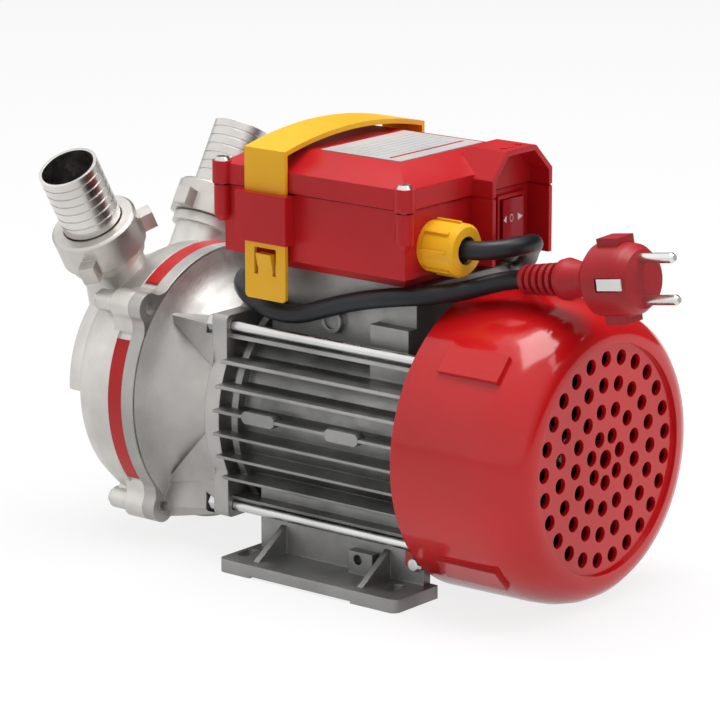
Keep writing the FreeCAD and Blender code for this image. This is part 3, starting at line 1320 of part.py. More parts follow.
def make_cord():
    """The lead as one tube; prints each arc's radius so that none is too sharp."""
    points = [FreeCAD.Vector(*spot) for spot in cord_points]
    runs = [(points[i + 1] - points[i]).Length for i in range(len(points) - 1)]
    edges = []
    start = points[0]
    radii = []
    length = 0
    for index in range(1, len(points) - 1):
        back = (points[index - 1] - points[index]).normalize()
        ahead = (points[index + 1] - points[index]).normalize()
        turn = math.pi - back.getAngle(ahead)
        setback = 0.45 * min(runs[index - 1], runs[index])
        radius = setback / math.tan(turn / 2)
        radii.append(round(radius, 1))
        first = points[index] + back * setback
        last = points[index] + ahead * setback
        inward = (back + ahead).normalize()
        centre_gap = radius / math.cos(turn / 2)
        middle = points[index] + inward * (centre_gap - radius)
        edges.append(Part.LineSegment(start, first).toShape())
        edges.append(Part.Arc(first, middle, last).toShape())
        length += (first - start).Length + radius * turn
        start = last
    edges.append(Part.LineSegment(start, points[-1]).toShape())
    length += (points[-1] - start).Length
    path = Part.Wire(edges)
    radius = value("cord_radius")
    ring = Part.Wire([Part.Circle(points[0], points[1] - points[0], radius).toShape()])
    shell = path.makePipeShell([ring], True, False)
    lead = doc.addObject("Part::Feature", "lead")
    lead.Shape = shell
    expected = math.pi * radius ** 2 * length
    print("cord radii", min(radii), radii)
    print("cord length %.1f mm, volume %.1f of %.1f" % (length, lead.Shape.Volume, expected))
    node("power_cord", lead)


def plug_frame():
    """Where the plug starts, and the way it points: on from the lead's last run."""
    start = FreeCAD.Vector(*cord_points[-1])
    way = (start - FreeCAD.Vector(*cord_points[-2])).normalize()
    turn = FreeCAD.Rotation(FreeCAD.Vector(0, 0, 1), way)
    return start, way, turn


def on_plug(name, kind, start, end, across=0, **sizes_given):
    """A solid on the plug's own axis; across moves it up the line between the pins."""
    origin, way, turn = plug_frame()
    thing = doc.addObject(kind, name)
    for prop, formula in sizes_given.items():
        thing.setExpression(prop, bound(formula))
    thing.setExpression("Height", bound("(%s) - (%s)" % (end, start)))
    upward = way.cross(FreeCAD.Vector(1, 0, 0)).normalize()
    if upward.z < 0:
        upward = -upward
    thing.Placement.Rotation = turn
    wide, deep = (value(sizes_given.get(side, 0)) / 2 for side in ("Length", "Width"))
    corner = origin - turn.multVec(FreeCAD.Vector(wide, deep, 0))
    for index, axis in enumerate("xyz"):
        thing.setExpression("Placement.Base." + axis, bound(
            "%.6f + (%s) * %.6f + (%s) * %.6f" % (corner[index], start, way[index], across,
                                                  upward[index])))
    return thing


def plug_turning(name, points):
    """A body of revolution on the plug's axis, from points given as (distance, radius)."""
    origin, way, turn = plug_frame()
    body = doc.addObject("PartDesign::Body", name)
    sketch = outline(body, name + "_outline", "XZ_Plane", [(r, d) for d, r in points])
    spin = body.newObject("PartDesign::Revolution", name + "_spin")
    spin.Profile = sketch
    spin.ReferenceAxis = (sketch, ["V_Axis"])
    spin.Angle = 360
    body.Placement = FreeCAD.Placement(origin, turn)
    return body


def make_plug():
    body_start = "relief_long"
    body_end = "relief_long + plug_body_long"
    form = plug_turning("plug_form", [
        (0, 0), (body_end, 0), (body_end, "plug_radius - 3.4"),
        (body_end + " - 4", "plug_radius - 0.8"), (body_end + " - 8", "plug_radius"),
        (body_start + " + 21", "plug_radius"), (body_start + " + 18.5", "plug_radius - 2.2"),
        (body_start + " + 15.5", "relief_thick + 1.2"), (body_start + " + 11", "relief_thick - 0.4"),
        (body_start + " + 6", "relief_thick + 0.6"), (body_start + " + 1", "relief_thick + 2"),
        (body_start + " - 2", "relief_thick + 1.4"), (body_start + " - 2", "relief_thick"),
        (0, "relief_thick - 1.2")])
    ribs = []
    for index, sign in enumerate((-1, 1)):
        rib = on_plug("plug_rib_%d" % index, "Part::Box", body_end + " - 20", body_end + " - 8",
                      "%d * (plug_radius + 0.4)" % sign, Length="plug_tab_wide",
                      Width="plug_tab_tall")
        ribs.append(rib)
    tools = []
    for index in range(sizes["relief_rings"]):
        at = "2.6 + %d * 4.2" % index
        outer = on_plug("relief_ring_%d" % index, "Part::Cylinder", at, at + " + 1.9",
                        Radius="relief_thick + 3")
        inner = on_plug("relief_core_%d" % index, "Part::Cylinder", at + " - 1", at + " + 3",
                        Radius="relief_thick - 3")
        tools.append(cut("relief_groove_%d" % index, outer, [inner]))
    for index, sign in enumerate((-1, 1)):
        origin, way, turn = plug_frame()
        notch = doc.addObject("Part::Box", "earth_notch_%d" % index)
        notch.setExpression("Length", bound("4"))
        notch.setExpression("Width", bound("6.4"))
        notch.setExpression("Height", bound("18"))
        notch.Placement.Rotation = turn
        lift = FreeCAD.Vector(1, 0, 0) * sign
        side = way.cross(lift).normalize()
        notch.Placement.Base = origin + way * value("relief_long + plug_body_long - 16")
        frame = FreeCAD.Rotation(lift, side, way, "ZXY")
        notch.Placement.Rotation = frame
        corner = origin + way * value("relief_long + plug_body_long - 16")
        corner = corner + lift * value("plug_radius - 1.6") - side * 3.2
        notch.Placement.Base = corner
        tools.append(notch)
    for index, sign in enumerate((-1, 1)):
        across = "%d * pin_spacing / 2" % sign
        tools.append(on_plug("pin_hole_%d" % index, "Part::Cylinder", body_end + " - 8",
                             body_end + " + 2", across, Radius="pin_radius"))
    node("plug_body", cut("plug_cut", fuse("plug_fused", [form] + ribs), tools))
    clips = []
    for index, sign in enumerate((-1, 1)):
        origin, way, turn = plug_frame()
        lift = FreeCAD.Vector(1, 0, 0) * sign
        side = way.cross(lift).normalize()
        clip = doc.addObject("Part::Box", "earth_clip_%d" % index)
        clip.Length = 0.8
        clip.Width = 5.4
        clip.Height = 14
        clip.Placement.Rotation = FreeCAD.Rotation(lift, side, way, "ZXY")
        clip.Placement.Base = (origin + way * value("relief_long + plug_body_long - 15.5")
                               + lift * value("plug_radius - 1.6") - side * 2.7)
        clips.append(clip)
    node("plug_earth_clips", group("earth_clip_pair", clips))
    pins = []
    for index, sign in enumerate((-1, 1)):
        across = "%d * pin_spacing / 2" % sign
        straight = on_plug("pin_straight_%d" % index, "Part::Cylinder", body_end + " - 8",
                           body_end + " + pin_long - 1.5", across, Radius="pin_radius")
        tip = on_plug("pin_tip_%d" % index, "Part::Cone", body_end + " + pin_long - 1.5",
                      body_end + " + pin_long", across, Radius1="pin_radius", Radius2="pin_radius - 1")
        pins.append(fuse("plug_pin_%d" % index, [straight, tip]))
    node("plug_pins", group("plug_pin_pair", pins))


make_housing()
make_motor_inside()
make_shaft()
make_bearing("front_bearing", "front_bearing_y", "front_bearing_y + bearing_wide")
make_bearing("rear_bearing", "-rear_bearing_y - bearing_wide", "-rear_bearing_y")
make_rear_shield()
make_tie_rods()
make_fan()
make_cover()
make_bracket()
make_front_casing()
make_casing_bolts()
make_impeller()
make_port_fittings(-1, "near")
make_port_fittings(1, "far")
make_box_base()
make_lid()
make_box_inside()
make_gland()
make_strap()
make_cord()
make_plug()
doc.recompute()

faults = []
for thing in doc.Objects:
    if "Invalid" in thing.State or "Error" in thing.State:
        faults.append("%s: %s" % (thing.Name, thing.State))
for thing in finished:
    if thing.Shape.isNull() or not thing.Shape.isValid():
        faults.append("%s: shape is not valid" % thing.Label)
    elif not thing.Shape.Solids:
        faults.append("%s: no solid" % thing.Label)
if faults:
    raise RuntimeError("; ".join(faults))

os.makedirs("parts", exist_ok=True)
for thing in finished:
    thing.Shape.exportStep("parts/%s.step" % thing.Label)
    print(thing.Label, len(thing.Shape.Solids), "%.0f mm3" % thing.Shape.Volume)
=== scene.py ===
import bpy
import math
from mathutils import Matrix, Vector


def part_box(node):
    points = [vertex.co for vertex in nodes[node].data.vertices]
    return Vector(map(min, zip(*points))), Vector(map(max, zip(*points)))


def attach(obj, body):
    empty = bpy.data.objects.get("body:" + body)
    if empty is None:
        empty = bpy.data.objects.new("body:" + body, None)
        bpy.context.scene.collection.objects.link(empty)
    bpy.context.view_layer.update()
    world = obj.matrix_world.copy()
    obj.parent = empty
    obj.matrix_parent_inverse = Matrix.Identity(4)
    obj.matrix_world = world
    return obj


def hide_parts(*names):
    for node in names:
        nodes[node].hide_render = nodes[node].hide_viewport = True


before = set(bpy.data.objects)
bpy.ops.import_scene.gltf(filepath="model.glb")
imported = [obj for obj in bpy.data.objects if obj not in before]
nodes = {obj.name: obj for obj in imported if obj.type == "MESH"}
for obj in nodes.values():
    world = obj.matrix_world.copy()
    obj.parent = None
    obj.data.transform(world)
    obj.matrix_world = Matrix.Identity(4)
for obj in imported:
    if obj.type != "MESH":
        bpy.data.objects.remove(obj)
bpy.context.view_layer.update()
bpy.ops.object.select_all(action="DESELECT")
mm = 0.001
quarter = math.radians(90)
even = (1, 1, 1)
print("frame loaded with", len(nodes), "nodes")


def turnTowards(place, target):
    aim = Vector(target) - Vector(place)
    return aim.to_track_quat("-Z", "Y").to_euler()


# the photograph looks down a little on the fan end and the gland side, through a long lens
photoCamera = {
    "place": (-1.3963, -1.11545, 0.54295),
    "target": (0.0, 0.02115, 0.0953),
    "lens": 191.67,
    "sensor": 36,
    "seesTo": 20,
}


def makeCamera():
    bpy.ops.object.camera_add(location=photoCamera["place"],
                              rotation=turnTowards(photoCamera["place"], photoCamera["target"]))
    camera = bpy.context.object
    camera.name = "photoCamera"
    camera.data.lens = photoCamera["lens"]
    camera.data.sensor_width = photoCamera["sensor"]
    camera.data.clip_end = photoCamera["seesTo"]
    bpy.context.scene.camera = camera


makeCamera()
print("camera placed")


# out of the gland, round the terminal box and up to the plug, as the solid lead runs; only the
# loop beside the gland is drawn in closer, as the photograph has it
lead = {
    "radius": 4.5 * mm,
    "length": 0.47,
    "order": 3,
    "steps": 10,
    "roundness": 7,
    "points": [
        (-28, -59.4, 166), (-28, -70, 166.4), (-23.5, -79.5, 167.6), (-14.5, -85, 168.6),
        (-3.6, -84.5, 168.2), (5.2, -79, 165.6), (15.8, -69, 160), (28, -58.5, 151.6),
        (39.6, -47, 145.6), (46, -32, 142.6), (46.6, -14, 140.6), (46, 6, 138.4),
        (45.5, 28, 136.3), (44.6, 47, 135.2), (38.5, 63.5, 134.5), (25, 76, 134.3),
        (6.5, 81.5, 134.6), (-12, 80, 133.6), (-28, 72.5, 132.2), (-39, 59.5, 129.4),
        (-43.8, 42.5, 125.4), (-43.5, 25, 124.6), (-43.8, 6, 131.4), (-44.2, -15, 138.2),
        (-44.6, -35, 142.6), (-40, -52, 144.9), (-30, -63.5, 146.8), (-19.5, -71.5, 149.6),
        (-14.8, -81, 152.4), (-15.3, -90, 153.8),
    ],
}


def makeLead():
    bpy.ops.curve.primitive_nurbs_path_add()
    curve = bpy.context.object
    curve.name = "mainsLead"
    curve.location = (0, 0, 0)
    data = curve.data
    data.splines.clear()
    spline = data.splines.new("NURBS")
    spline.points.add(len(lead["points"]) - 1)
    for point, (x, y, z) in zip(spline.points, lead["points"]):
        point.co = (x * mm, y * mm, z * mm, 1)
        point.radius = lead["radius"]
    spline.order_u = lead["order"]
    spline.use_endpoint_u = True
    spline.resolution_u = lead["steps"]
    data.dimensions = "3D"
    data.bevel_depth = 1.0  # a full metre, which each point's radius brings down to the lead's own
    data.bevel_resolution = lead["roundness"]
    data.use_fill_caps = True
    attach(curve, "pump_unit")
    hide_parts("power_cord")
    return curve


leadCurve = makeLead()
print("mains lead laid")


def newMaterial(name, colour, metallic=0.0, roughness=0.5):
    material = bpy.data.materials.new(name)
    material.use_nodes = True
    shader = shaderOf(material)
    shader.inputs["Base Color"].default_value = (*colour, 1)
    shader.inputs["Metallic"].default_value = metallic
    shader.inputs["Roughness"].default_value = roughness
    return material


def shaderOf(material):
    return material.node_tree.nodes["Principled BSDF"]


def addNode(owner, kind, **settings):
    node = owner.node_tree.nodes.new(kind)
    for key, value in settings.items():
        if key in node.inputs:
            node.inputs[key].default_value = value
        else:
            setattr(node, key, value)
    return node


def wire(owner, source, output, target, entry):
    owner.node_tree.links.new(source.outputs[output], target.inputs[entry])


# how the clouds of colour and roughness spread, and how fine the grain is drawn
pattern = {
    "cloudDetail": 4,
    "cloudFrom": 0.35,
    "cloudTo": 0.65,
    "grainDetail": 3,
    "edgeSamples": 4,
}


def noise(material, scale, detail, stretch):
    coordinates = addNode(material, "ShaderNodeTexCoord")
    mapping = addNode(material, "ShaderNodeMapping", Scale=stretch)
    texture = addNode(material, "ShaderNodeTexNoise", Scale=scale, Detail=detail)
    wire(material, coordinates, "Object", mapping, "Vector")
    wire(material, mapping, "Vector", texture, "Vector")
    return texture


def clouds(material, entry, low, high, scale, stretch):
    # one entry of the shader drifts between two values over the surface
    texture = noise(material, scale, pattern["cloudDetail"], stretch)
    stops = addNode(material, "ShaderNodeValToRGB")
    first, last = stops.color_ramp.elements
    first.position = pattern["cloudFrom"]
    last.position = pattern["cloudTo"]
    first.color = (*low, 1)
    last.color = (*high, 1)
    wire(material, texture, "Fac", stops, "Fac")
    wire(material, stops, "Color", shaderOf(material), entry)


def mottle(material, low, high, scale, stretch=even):
    clouds(material, "Base Color", low, high, scale, stretch)


def roughnessSpread(material, low, high, scale, stretch=even):
    clouds(material, "Roughness", (low,) * 3, (high,) * 3, scale, stretch)


def texturedNormal(material, grains, edge, stretch=even):
    # softened edges first, then one bump after another, each given as (scale, height in mm)
    last = addNode(material, "ShaderNodeBevel", samples=pattern["edgeSamples"], Radius=edge * mm)
    for scale, height in grains:
        bump = addNode(material, "ShaderNodeBump", Strength=1.0, Distance=height * mm)
        grain = noise(material, scale, pattern["grainDetail"], stretch)
        wire(material, grain, "Fac", bump, "Height")
        wire(material, last, "Normal", bump, "Normal")
        last = bump
    wire(material, last, "Normal", shaderOf(material), "Normal")


# blasted casting: fine sand grain over a faint larger unevenness
castLook = {
    "metallic": 0.9,
    "mottle": 28,
    "roughness": 90,
    "grains": [(900, 0.10), (120, 0.12)],
    "edge": 0.8,
}


def castAlloy(name, dark, light, low, high):
    material = newMaterial(name, light, castLook["metallic"])
    mottle(material, dark, light, castLook["mottle"])
    roughnessSpread(material, low, high, castLook["roughness"])
    texturedNormal(material, castLook["grains"], castLook["edge"])
    return material


# moulded plastic: a fine grain over slow waves, with a clear gloss on the cover alone
plasticLook = {
    "sheen": 0.25,
    "mottle": 14,
    "roughness": 40,
    "grainScale": 700,
    "waves": (22, 0.12),
    "edge": 0.5,
    "coatRoughness": 0.06,
}


def mouldedPlastic(name, dark, light, low, high, grain=0.02, gloss=0.0):
    material = newMaterial(name, light, 0.0, low)
    shader = shaderOf(material)
    shader.inputs["Specular IOR Level"].default_value = plasticLook["sheen"]
    mottle(material, dark, light, plasticLook["mottle"])
    roughnessSpread(material, low, high, plasticLook["roughness"])
    grains = [(plasticLook["grainScale"], grain), plasticLook["waves"]]
    texturedNormal(material, grains, plasticLook["edge"])
    if gloss:
        shader.inputs["Coat Weight"].default_value = gloss
        shader.inputs["Coat Roughness"].default_value = plasticLook["coatRoughness"]
    return material


# turned and drawn metal: a faint grain, drawn out along the piece by its stretch
steelLook = {
    "mottle": 30,
    "roughness": 120,
    "grains": [(300, 0.02)],
    "edge": 0.25,
}


def turnedSteel(name, dark, light, low, high, stretch=even):
    material = newMaterial(name, light, 1.0, low)
    mottle(material, dark, light, steelLook["mottle"], stretch)
    roughnessSpread(material, low, high, steelLook["roughness"], stretch)
    texturedNormal(material, steelLook["grains"], steelLook["edge"], stretch)
    return material


# rubber and soft plastic
rubberLook = {
    "sheen": 0.3,
    "mottle": 30,
    "roughness": 60,
    "grainScale": 500,
    "edge": 0.3,
}


def rubber(name, dark, light, low, high, grain=0.03):
    material = newMaterial(name, light, 0.0, low)
    shaderOf(material).inputs["Specular IOR Level"].default_value = rubberLook["sheen"]
    mottle(material, dark, light, rubberLook["mottle"])
    roughnessSpread(material, low, high, rubberLook["roughness"])
    texturedNormal(material, [(rubberLook["grainScale"], grain)], rubberLook["edge"])
    return material


# each finish: dark and light colour, least and most roughness, then what sets it apart
castings = {
    "motorCasting": ((0.23, 0.228, 0.225), (0.33, 0.327, 0.322), 0.4, 0.54),
    # the bracket is the pump casting's alloy with painted shade: its colours are darkened for the
    # shade it sits in between the motor and the disc
    "bracketCastingPaintedShade": ((0.35, 0.34, 0.325), (0.45, 0.435, 0.415), 0.4, 0.54),
    "pumpCasting": ((0.53, 0.51, 0.485), (0.67, 0.65, 0.62), 0.38, 0.52),
    "unionCasting": ((0.46, 0.435, 0.41), (0.62, 0.59, 0.56), 0.3, 0.44),
}
plastics = {
    "coverRed": ((0.50, 0.006, 0.008), (0.58, 0.008, 0.010), 0.14, 0.22, 0.004, 0.35),
    "boxRed": ((0.46, 0.010, 0.014), (0.54, 0.013, 0.018), 0.3, 0.42),
    "bandRed": ((0.44, 0.012, 0.012), (0.52, 0.016, 0.016), 0.3, 0.4),
    "strapYellow": ((0.86, 0.44, 0.014), (0.93, 0.50, 0.020), 0.3, 0.4),
    "glandYellow": ((0.84, 0.43, 0.012), (0.92, 0.49, 0.018), 0.34, 0.44),
    "plasticBlack": ((0.012, 0.012, 0.013), (0.02, 0.02, 0.022), 0.4, 0.5),
    "rockerRed": ((0.36, 0.012, 0.02), (0.43, 0.018, 0.028), 0.16, 0.26, 0.004),
    "markWhite": ((0.74, 0.72, 0.70), (0.82, 0.80, 0.78), 0.35, 0.45),
    "canWhite": ((0.7, 0.7, 0.66), (0.8, 0.8, 0.76), 0.4, 0.5),
    "labelFoil": ((0.50, 0.50, 0.50), (0.60, 0.60, 0.60), 0.25, 0.35),
    "ruleGrey": ((0.38, 0.38, 0.38), (0.44, 0.44, 0.44), 0.4, 0.5),
}
metals = {
    "tubeSteel": ((0.50, 0.48, 0.46), (0.66, 0.64, 0.615), 0.16, 0.28),
    "coreSteel": ((0.35, 0.34, 0.33), (0.45, 0.44, 0.43), 0.3, 0.45),
    "shaftSteel": ((0.5, 0.49, 0.48), (0.62, 0.61, 0.6), 0.2, 0.35, (1, 6, 1)),
    "boltZinc": ((0.52, 0.52, 0.515), (0.66, 0.66, 0.655), 0.2, 0.34),
    "copperWire": ((0.5, 0.2, 0.08), (0.7, 0.3, 0.13), 0.3, 0.45),
    "brass": ((0.6, 0.42, 0.16), (0.74, 0.54, 0.24), 0.22, 0.36),
    "pinNickel": ((0.6, 0.59, 0.57), (0.74, 0.73, 0.71), 0.16, 0.28),
}
rubbers = {
    "leadRubber": ((0.008, 0.009, 0.011), (0.016, 0.018, 0.022), 0.34, 0.46),
    "sealRubber": ((0.012, 0.012, 0.012), (0.025, 0.025, 0.025), 0.6, 0.8),
    "gasketRed": ((0.13, 0.004, 0.006), (0.18, 0.006, 0.008), 0.6, 0.8),
    "plugRed": ((0.33, 0.010, 0.014), (0.40, 0.014, 0.020), 0.34, 0.46, 0.02),
}

finishes = {}
for makeFinish, looks in ((castAlloy, castings), (mouldedPlastic, plastics), (turnedSteel, metals),
                          (rubber, rubbers)):
    for name, look in looks.items():
        finishes[name] = makeFinish(name, *look)
print("finishes mixed:", len(finishes))

nodeFinishes = {
    "motorCasting": ("stator_housing", "rear_shield"),
    # the bracket takes the darker, painted-shade copy of the pump alloy
    "bracketCastingPaintedShade": ("pump_bracket",),
    "pumpCasting": ("front_casing",),
    "unionCasting": ("union_nut_near", "union_nut_far"),
    "tubeSteel": ("hose_tail_near", "hose_tail_far"),
    "coverRed": ("fan_cover",),
    "boxRed": ("box_base", "box_lid", "switch_body"),
    "bandRed": ("casing_bands",),
    "strapYellow": ("carry_strap",),
    "glandYellow": ("gland_nut", "gland_body"),
    "plasticBlack": ("cooling_fan", "terminal_block"),
    "rockerRed": ("switch_rocker",),
    "coreSteel": ("stator_core", "rotor_core"),
    "shaftSteel": ("shaft", "front_bearing", "rear_bearing", "shaft_seal_seat",
                   "shaft_seal_head"),
    "boltZinc": ("tie_rods", "tie_rod_nuts", "casing_bolts", "lid_screws", "cover_screws"),
    "copperWire": ("windings",),
    "brass": ("impeller",),
    "pinNickel": ("plug_pins", "plug_earth_clips"),
    "sealRubber": ("casing_seal", "port_gasket_near", "port_gasket_far", "gland_seal"),
    "gasketRed": ("lid_gasket",),
    "leadRubber": ("power_cord",),
    "plugRed": ("plug_body",),
    "canWhite": ("capacitor",),
    "labelFoil": ("rating_plate",),
}

# shared edges are joined again and split only where the form turns sharply
smoothing = {
    "weld": 0.002 * mm,
    "sharpFrom": 32,
}


def paint(piece, finish):
    piece.data.materials.clear()
    piece.data.materials.append(finishes[finish])


def smoothNode(piece):
    for face in piece.data.polygons:
        face.use_smooth = True
    weld = piece.modifiers.new("weld", "WELD")
    weld.merge_threshold = smoothing["weld"]
    split = piece.modifiers.new("sharpEdges", "EDGE_SPLIT")
    split.split_angle = math.radians(smoothing["sharpFrom"])


for finish, names in nodeFinishes.items():
    for name in names:
        paint(nodes[name], finish)
        smoothNode(nodes[name])
paint(leadCurve, "leadRubber")
print("materials given to", sum(len(names) for names in nodeFinishes.values()), "nodes")


def finishPiece(piece, name, finish, body, bevel=0.0):
    piece.name = name
    if bevel:
        softening = piece.modifiers.new("softEdges", "BEVEL")
        softening.width = bevel * mm
        softening.segments = 2
        softening.limit_method = "ANGLE"
        bpy.ops.object.modifier_apply(modifier=softening.name)
    bpy.ops.object.transform_apply(location=True, rotation=True, scale=True)
    paint(piece, finish)
    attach(piece, body)
    return piece


def inMillimetres(corners):
    return [[value / mm for value in corner] for corner in corners]


def makePrism(sides, radius, deep, place, turn):
    # a flat mark: its outline lies across its own Z, which turn sets
    bpy.ops.mesh.primitive_cylinder_add(vertices=sides, radius=radius * mm, depth=deep * mm,
                                        location=[value * mm for value in place], rotation=turn)
    return bpy.context.object


def makeRing(outer, thick, place, turn, stretch=even):
    bpy.ops.mesh.primitive_torus_add(major_radius=(outer - thick / 2) * mm,
                                     minor_radius=thick / 2 * mm, major_segments=32,
                                     minor_segments=8, location=[value * mm for value in place],
                                     rotation=turn)
    bpy.context.object.scale = stretch
    return bpy.context.object


def makeBar(place, size):
    bpy.ops.mesh.primitive_cube_add(size=1, location=[value * mm for value in place])
    bpy.context.object.scale = [value * mm for value in size]
    return bpy.context.object


def joinPieces(pieces):
    bpy.ops.object.select_all(action="DESELECT")
    for piece in pieces:
        piece.select_set(True)
    bpy.context.view_layer.objects.active = pieces[0]
    bpy.ops.object.join()
    return bpy.context.object


# arrows for the two ways of running and a ring for off, printed on the rocker
switchMarks = {
    "arrowOut": 5.5,
    "arrowRadius": 2.1,
    "ringRadius": 1.7,
    "ringLine": 0.5,
    "ringStretch": (0.8, 1.15, 0.3),
    "printed": 0.12,
    "tilt": math.atan2(1.1, 4.9),  # each half of the face rises 1.1 mm over 4.9 mm
    "edgeDeep": 3.2,
    "middleDeep": 2.1,
    "middleHalf": 3.0,
}


def makeSwitchMarks():
    low, high = inMillimetres(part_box("switch_rocker"))
    middle = (low[0] + high[0]) / 2
    height = (low[2] + high[2]) / 2
    flat = low[1] + switchMarks["edgeDeep"] - switchMarks["middleDeep"]
    out = switchMarks["arrowOut"]
    rise = (out - switchMarks["middleHalf"]) * math.tan(switchMarks["tilt"])
    marks = []
    for side in (-1, 1):
        turn = (quarter, side * quarter, -side * switchMarks["tilt"])
        marks.append(makePrism(3, switchMarks["arrowRadius"], switchMarks["printed"],
                               (middle + side * out, flat - rise, height), turn))
    marks.append(makeRing(switchMarks["ringRadius"], switchMarks["ringLine"],
                          (middle, flat, height), (quarter, 0, 0), switchMarks["ringStretch"]))
    finishPiece(joinPieces(marks), "rockerMarks", "markWhite", "rocker")


makeSwitchMarks()
print("rocker marked")


# the same three signs, raised on the roof of the hood over the switch
hoodMarks = {
    "top": 205.7,
    "middle": 22.7,
    "fromFront": 6.5,
    "spread": 6.2,
    "arrowRadius": 2.2,
    "ringRadius": 1.9,
    "ringLine": 0.8,
    "raised": 0.5,
    "softEdge": 0.12,
}


def makeHoodMarks():
    middle, top = hoodMarks["middle"], hoodMarks["top"]
    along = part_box("box_lid")[0][1] / mm + hoodMarks["fromFront"]
    marks = []
    for side in (-1, 1):
        marks.append(makePrism(3, hoodMarks["arrowRadius"], 2 * hoodMarks["raised"],
                               (middle + side * hoodMarks["spread"], along, top),
                               (0, 0, -side * quarter)))
    marks.append(makeRing(hoodMarks["ringRadius"], hoodMarks["ringLine"], (middle, along, top),
                          (0, 0, 0)))
    finishPiece(joinPieces(marks), "hoodMarks", "boxRed", "pump_unit",
                hoodMarks["softEdge"])


makeHoodMarks()
print("hood marked")


# the lid's inner lip, which closes its seam where the hood stands clear of the gasket
lidLip = {
    "near": 0.7,
    "far": 46.8,
    "wide": 1.4,
    "fromFront": 0.6,
    "over": 0.2,
}


def makeLidLip():
    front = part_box("box_lid")[0][1] / mm + lidLip["fromFront"]
    low, high = inMillimetres(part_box("lid_gasket"))
    wide = lidLip["wide"]
    strips = []
    for start in (lidLip["near"], lidLip["far"] - wide):
        strips.append(makeBar((start + wide / 2, (front + low[1]) / 2, (low[2] + high[2]) / 2),
                              (wide, low[1] - front, high[2] - low[2] + lidLip["over"])))
    finishPiece(joinPieces(strips), "lidLip", "boxRed", "pump_unit")


makeLidLip()
print("lid lip made")


# a thin red bar near the fan end of the pale plate, and grey rules over the rest
plateLines = {
    "stripeFrom": 9.0,
    "stripeWide": 1.8,
    "inset": 3.5,
    "rules": 7,
    "ruleWide": 0.22,
    "ruleGap": 4.2,
    "endGap": 2,
    "printed": 0.1,
}


def makePlateLines():
    low, high = inMillimetres(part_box("rating_plate"))
    left, right = low[0] + plateLines["inset"], high[0] - plateLines["inset"]
    first = low[1] + plateLines["stripeFrom"]

    def line(along, wide):
        return makeBar(((left + right) / 2, along, high[2]),
                       (right - left, wide, plateLines["printed"]))

    finishPiece(line(first, plateLines["stripeWide"]), "plateStripe", "bandRed", "pump_unit")
    rules = []
    for number in range(plateLines["rules"]):
        along = first + plateLines["ruleGap"] * (number + 1)
        if along < high[1] - plateLines["endGap"]:
            rules.append(line(along, plateLines["ruleWide"]))
    finishPiece(joinPieces(rules), "plateRules", "ruleGrey", "pump_unit")


makePlateLines()
print("plate ruled")


studio = {
    "white": (1, 1, 1, 1),
    "floorSize": 30,
    "floorLow": 0.2 * mm,
    "floorColour": (0.85, 0.85, 0.85),
    "floorRoughness": 0.7,
    "floorSeen": 0.82,
    "floorMirrored": 0.62,
    "worldSeen": 1.0,
    "worldLight": 0.36,
    # metal mirrors a studio that is white on the gland side and grey on the other: how far a ray
    # turns to the bright side, from and to, and how bright it is there
    "brightSide": (-0.72, 0.25, 0.35),
    "turned": (-0.35, 0.3),
    "mirrored": (0.05, 1.25),
    "aim": (0, 0, 0.1),
    "lamps": [
        # (name, place, size, watts)
        ("topPanel", (0.1, 0.1, 2.2), 1.4, 42),
        ("fanPanel", (0.5, -1.3, 2.0), 1.3, 16),
    ],
}


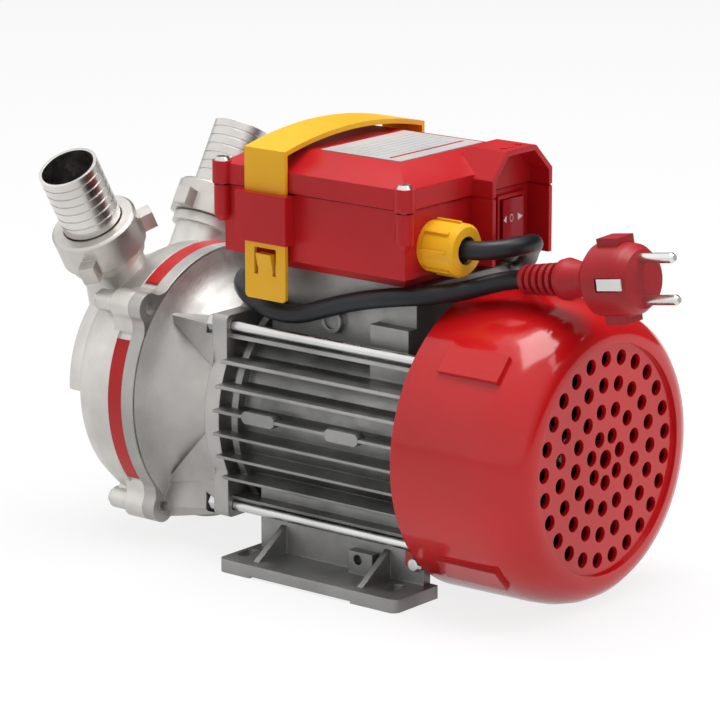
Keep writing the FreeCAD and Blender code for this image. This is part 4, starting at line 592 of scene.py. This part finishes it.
def makeFloor():
    bpy.ops.mesh.primitive_plane_add(size=studio["floorSize"],
                                     location=(0, 0, -studio["floorLow"]))
    floor = bpy.context.object
    floor.name = "studioFloor"
    material = newMaterial("floorWhite", studio["floorColour"], 0.0, studio["floorRoughness"])
    rays = addNode(material, "ShaderNodeLightPath")
    glow = addNode(material, "ShaderNodeEmission", Strength=1.0)
    mix = addNode(material, "ShaderNodeMixShader")
    level = addNode(material, "ShaderNodeMath", operation="MAXIMUM")
    shares = (("Is Camera Ray", "floorSeen"), ("Is Glossy Ray", "floorMirrored"))
    for entry, (ray, share) in enumerate(shares):
        part = addNode(material, "ShaderNodeMath", operation="MULTIPLY")
        part.inputs[1].default_value = studio[share]
        wire(material, rays, ray, part, 0)
        wire(material, part, 0, level, entry)
    for entry, source in enumerate((level, shaderOf(material), glow)):
        wire(material, source, 0, mix, entry)
    wire(material, mix, 0, material.node_tree.nodes["Material Output"], "Surface")
    floor.data.materials.append(material)


def makeWorld():
    world = bpy.data.worlds.new("studioWorld")
    bpy.context.scene.world = world
    world.use_nodes = True
    light = world.node_tree.nodes["Background"]
    light.inputs["Color"].default_value = studio["white"]
    light.inputs["Strength"].default_value = studio["worldLight"]
    seen = addNode(world, "ShaderNodeBackground", Color=studio["white"],
                   Strength=studio["worldSeen"])
    mirrored = addNode(world, "ShaderNodeBackground", Color=studio["white"])
    direction = addNode(world, "ShaderNodeTexCoord")
    facing = addNode(world, "ShaderNodeVectorMath", operation="DOT_PRODUCT")
    facing.inputs[1].default_value = studio["brightSide"]
    level = addNode(world, "ShaderNodeMapRange")
    limits = studio["turned"] + studio["mirrored"]
    for entry, value in zip(("From Min", "From Max", "To Min", "To Max"), limits):
        level.inputs[entry].default_value = value
    wire(world, direction, "Generated", facing, 0)
    wire(world, facing, "Value", level, "Value")
    wire(world, level, "Result", mirrored, "Strength")
    rays = addNode(world, "ShaderNodeLightPath")
    either = addNode(world, "ShaderNodeMath", operation="MAXIMUM")
    wire(world, rays, "Is Camera Ray", either, 0)
    wire(world, rays, "Is Transmission Ray", either, 1)
    glossyMix = addNode(world, "ShaderNodeMixShader")
    wire(world, rays, "Is Glossy Ray", glossyMix, 0)
    wire(world, light, 0, glossyMix, 1)
    wire(world, mirrored, 0, glossyMix, 2)
    mix = addNode(world, "ShaderNodeMixShader")
    for entry, source in enumerate((either, glossyMix, seen)):
        wire(world, source, 0, mix, entry)
    wire(world, mix, 0, world.node_tree.nodes["World Output"], "Surface")


def makeLamps():
    for name, place, size, watts in studio["lamps"]:
        bpy.ops.object.light_add(type="AREA", location=place,
                                 rotation=turnTowards(place, studio["aim"]))
        lamp = bpy.context.object
        lamp.name = name
        lamp.data.shape = "SQUARE"
        lamp.data.size = size
        lamp.data.energy = watts


makeFloor()
makeWorld()
makeLamps()
bpy.context.scene.view_settings.view_transform = "Standard"
print("studio lit")

bpy.context.view_layer.update()
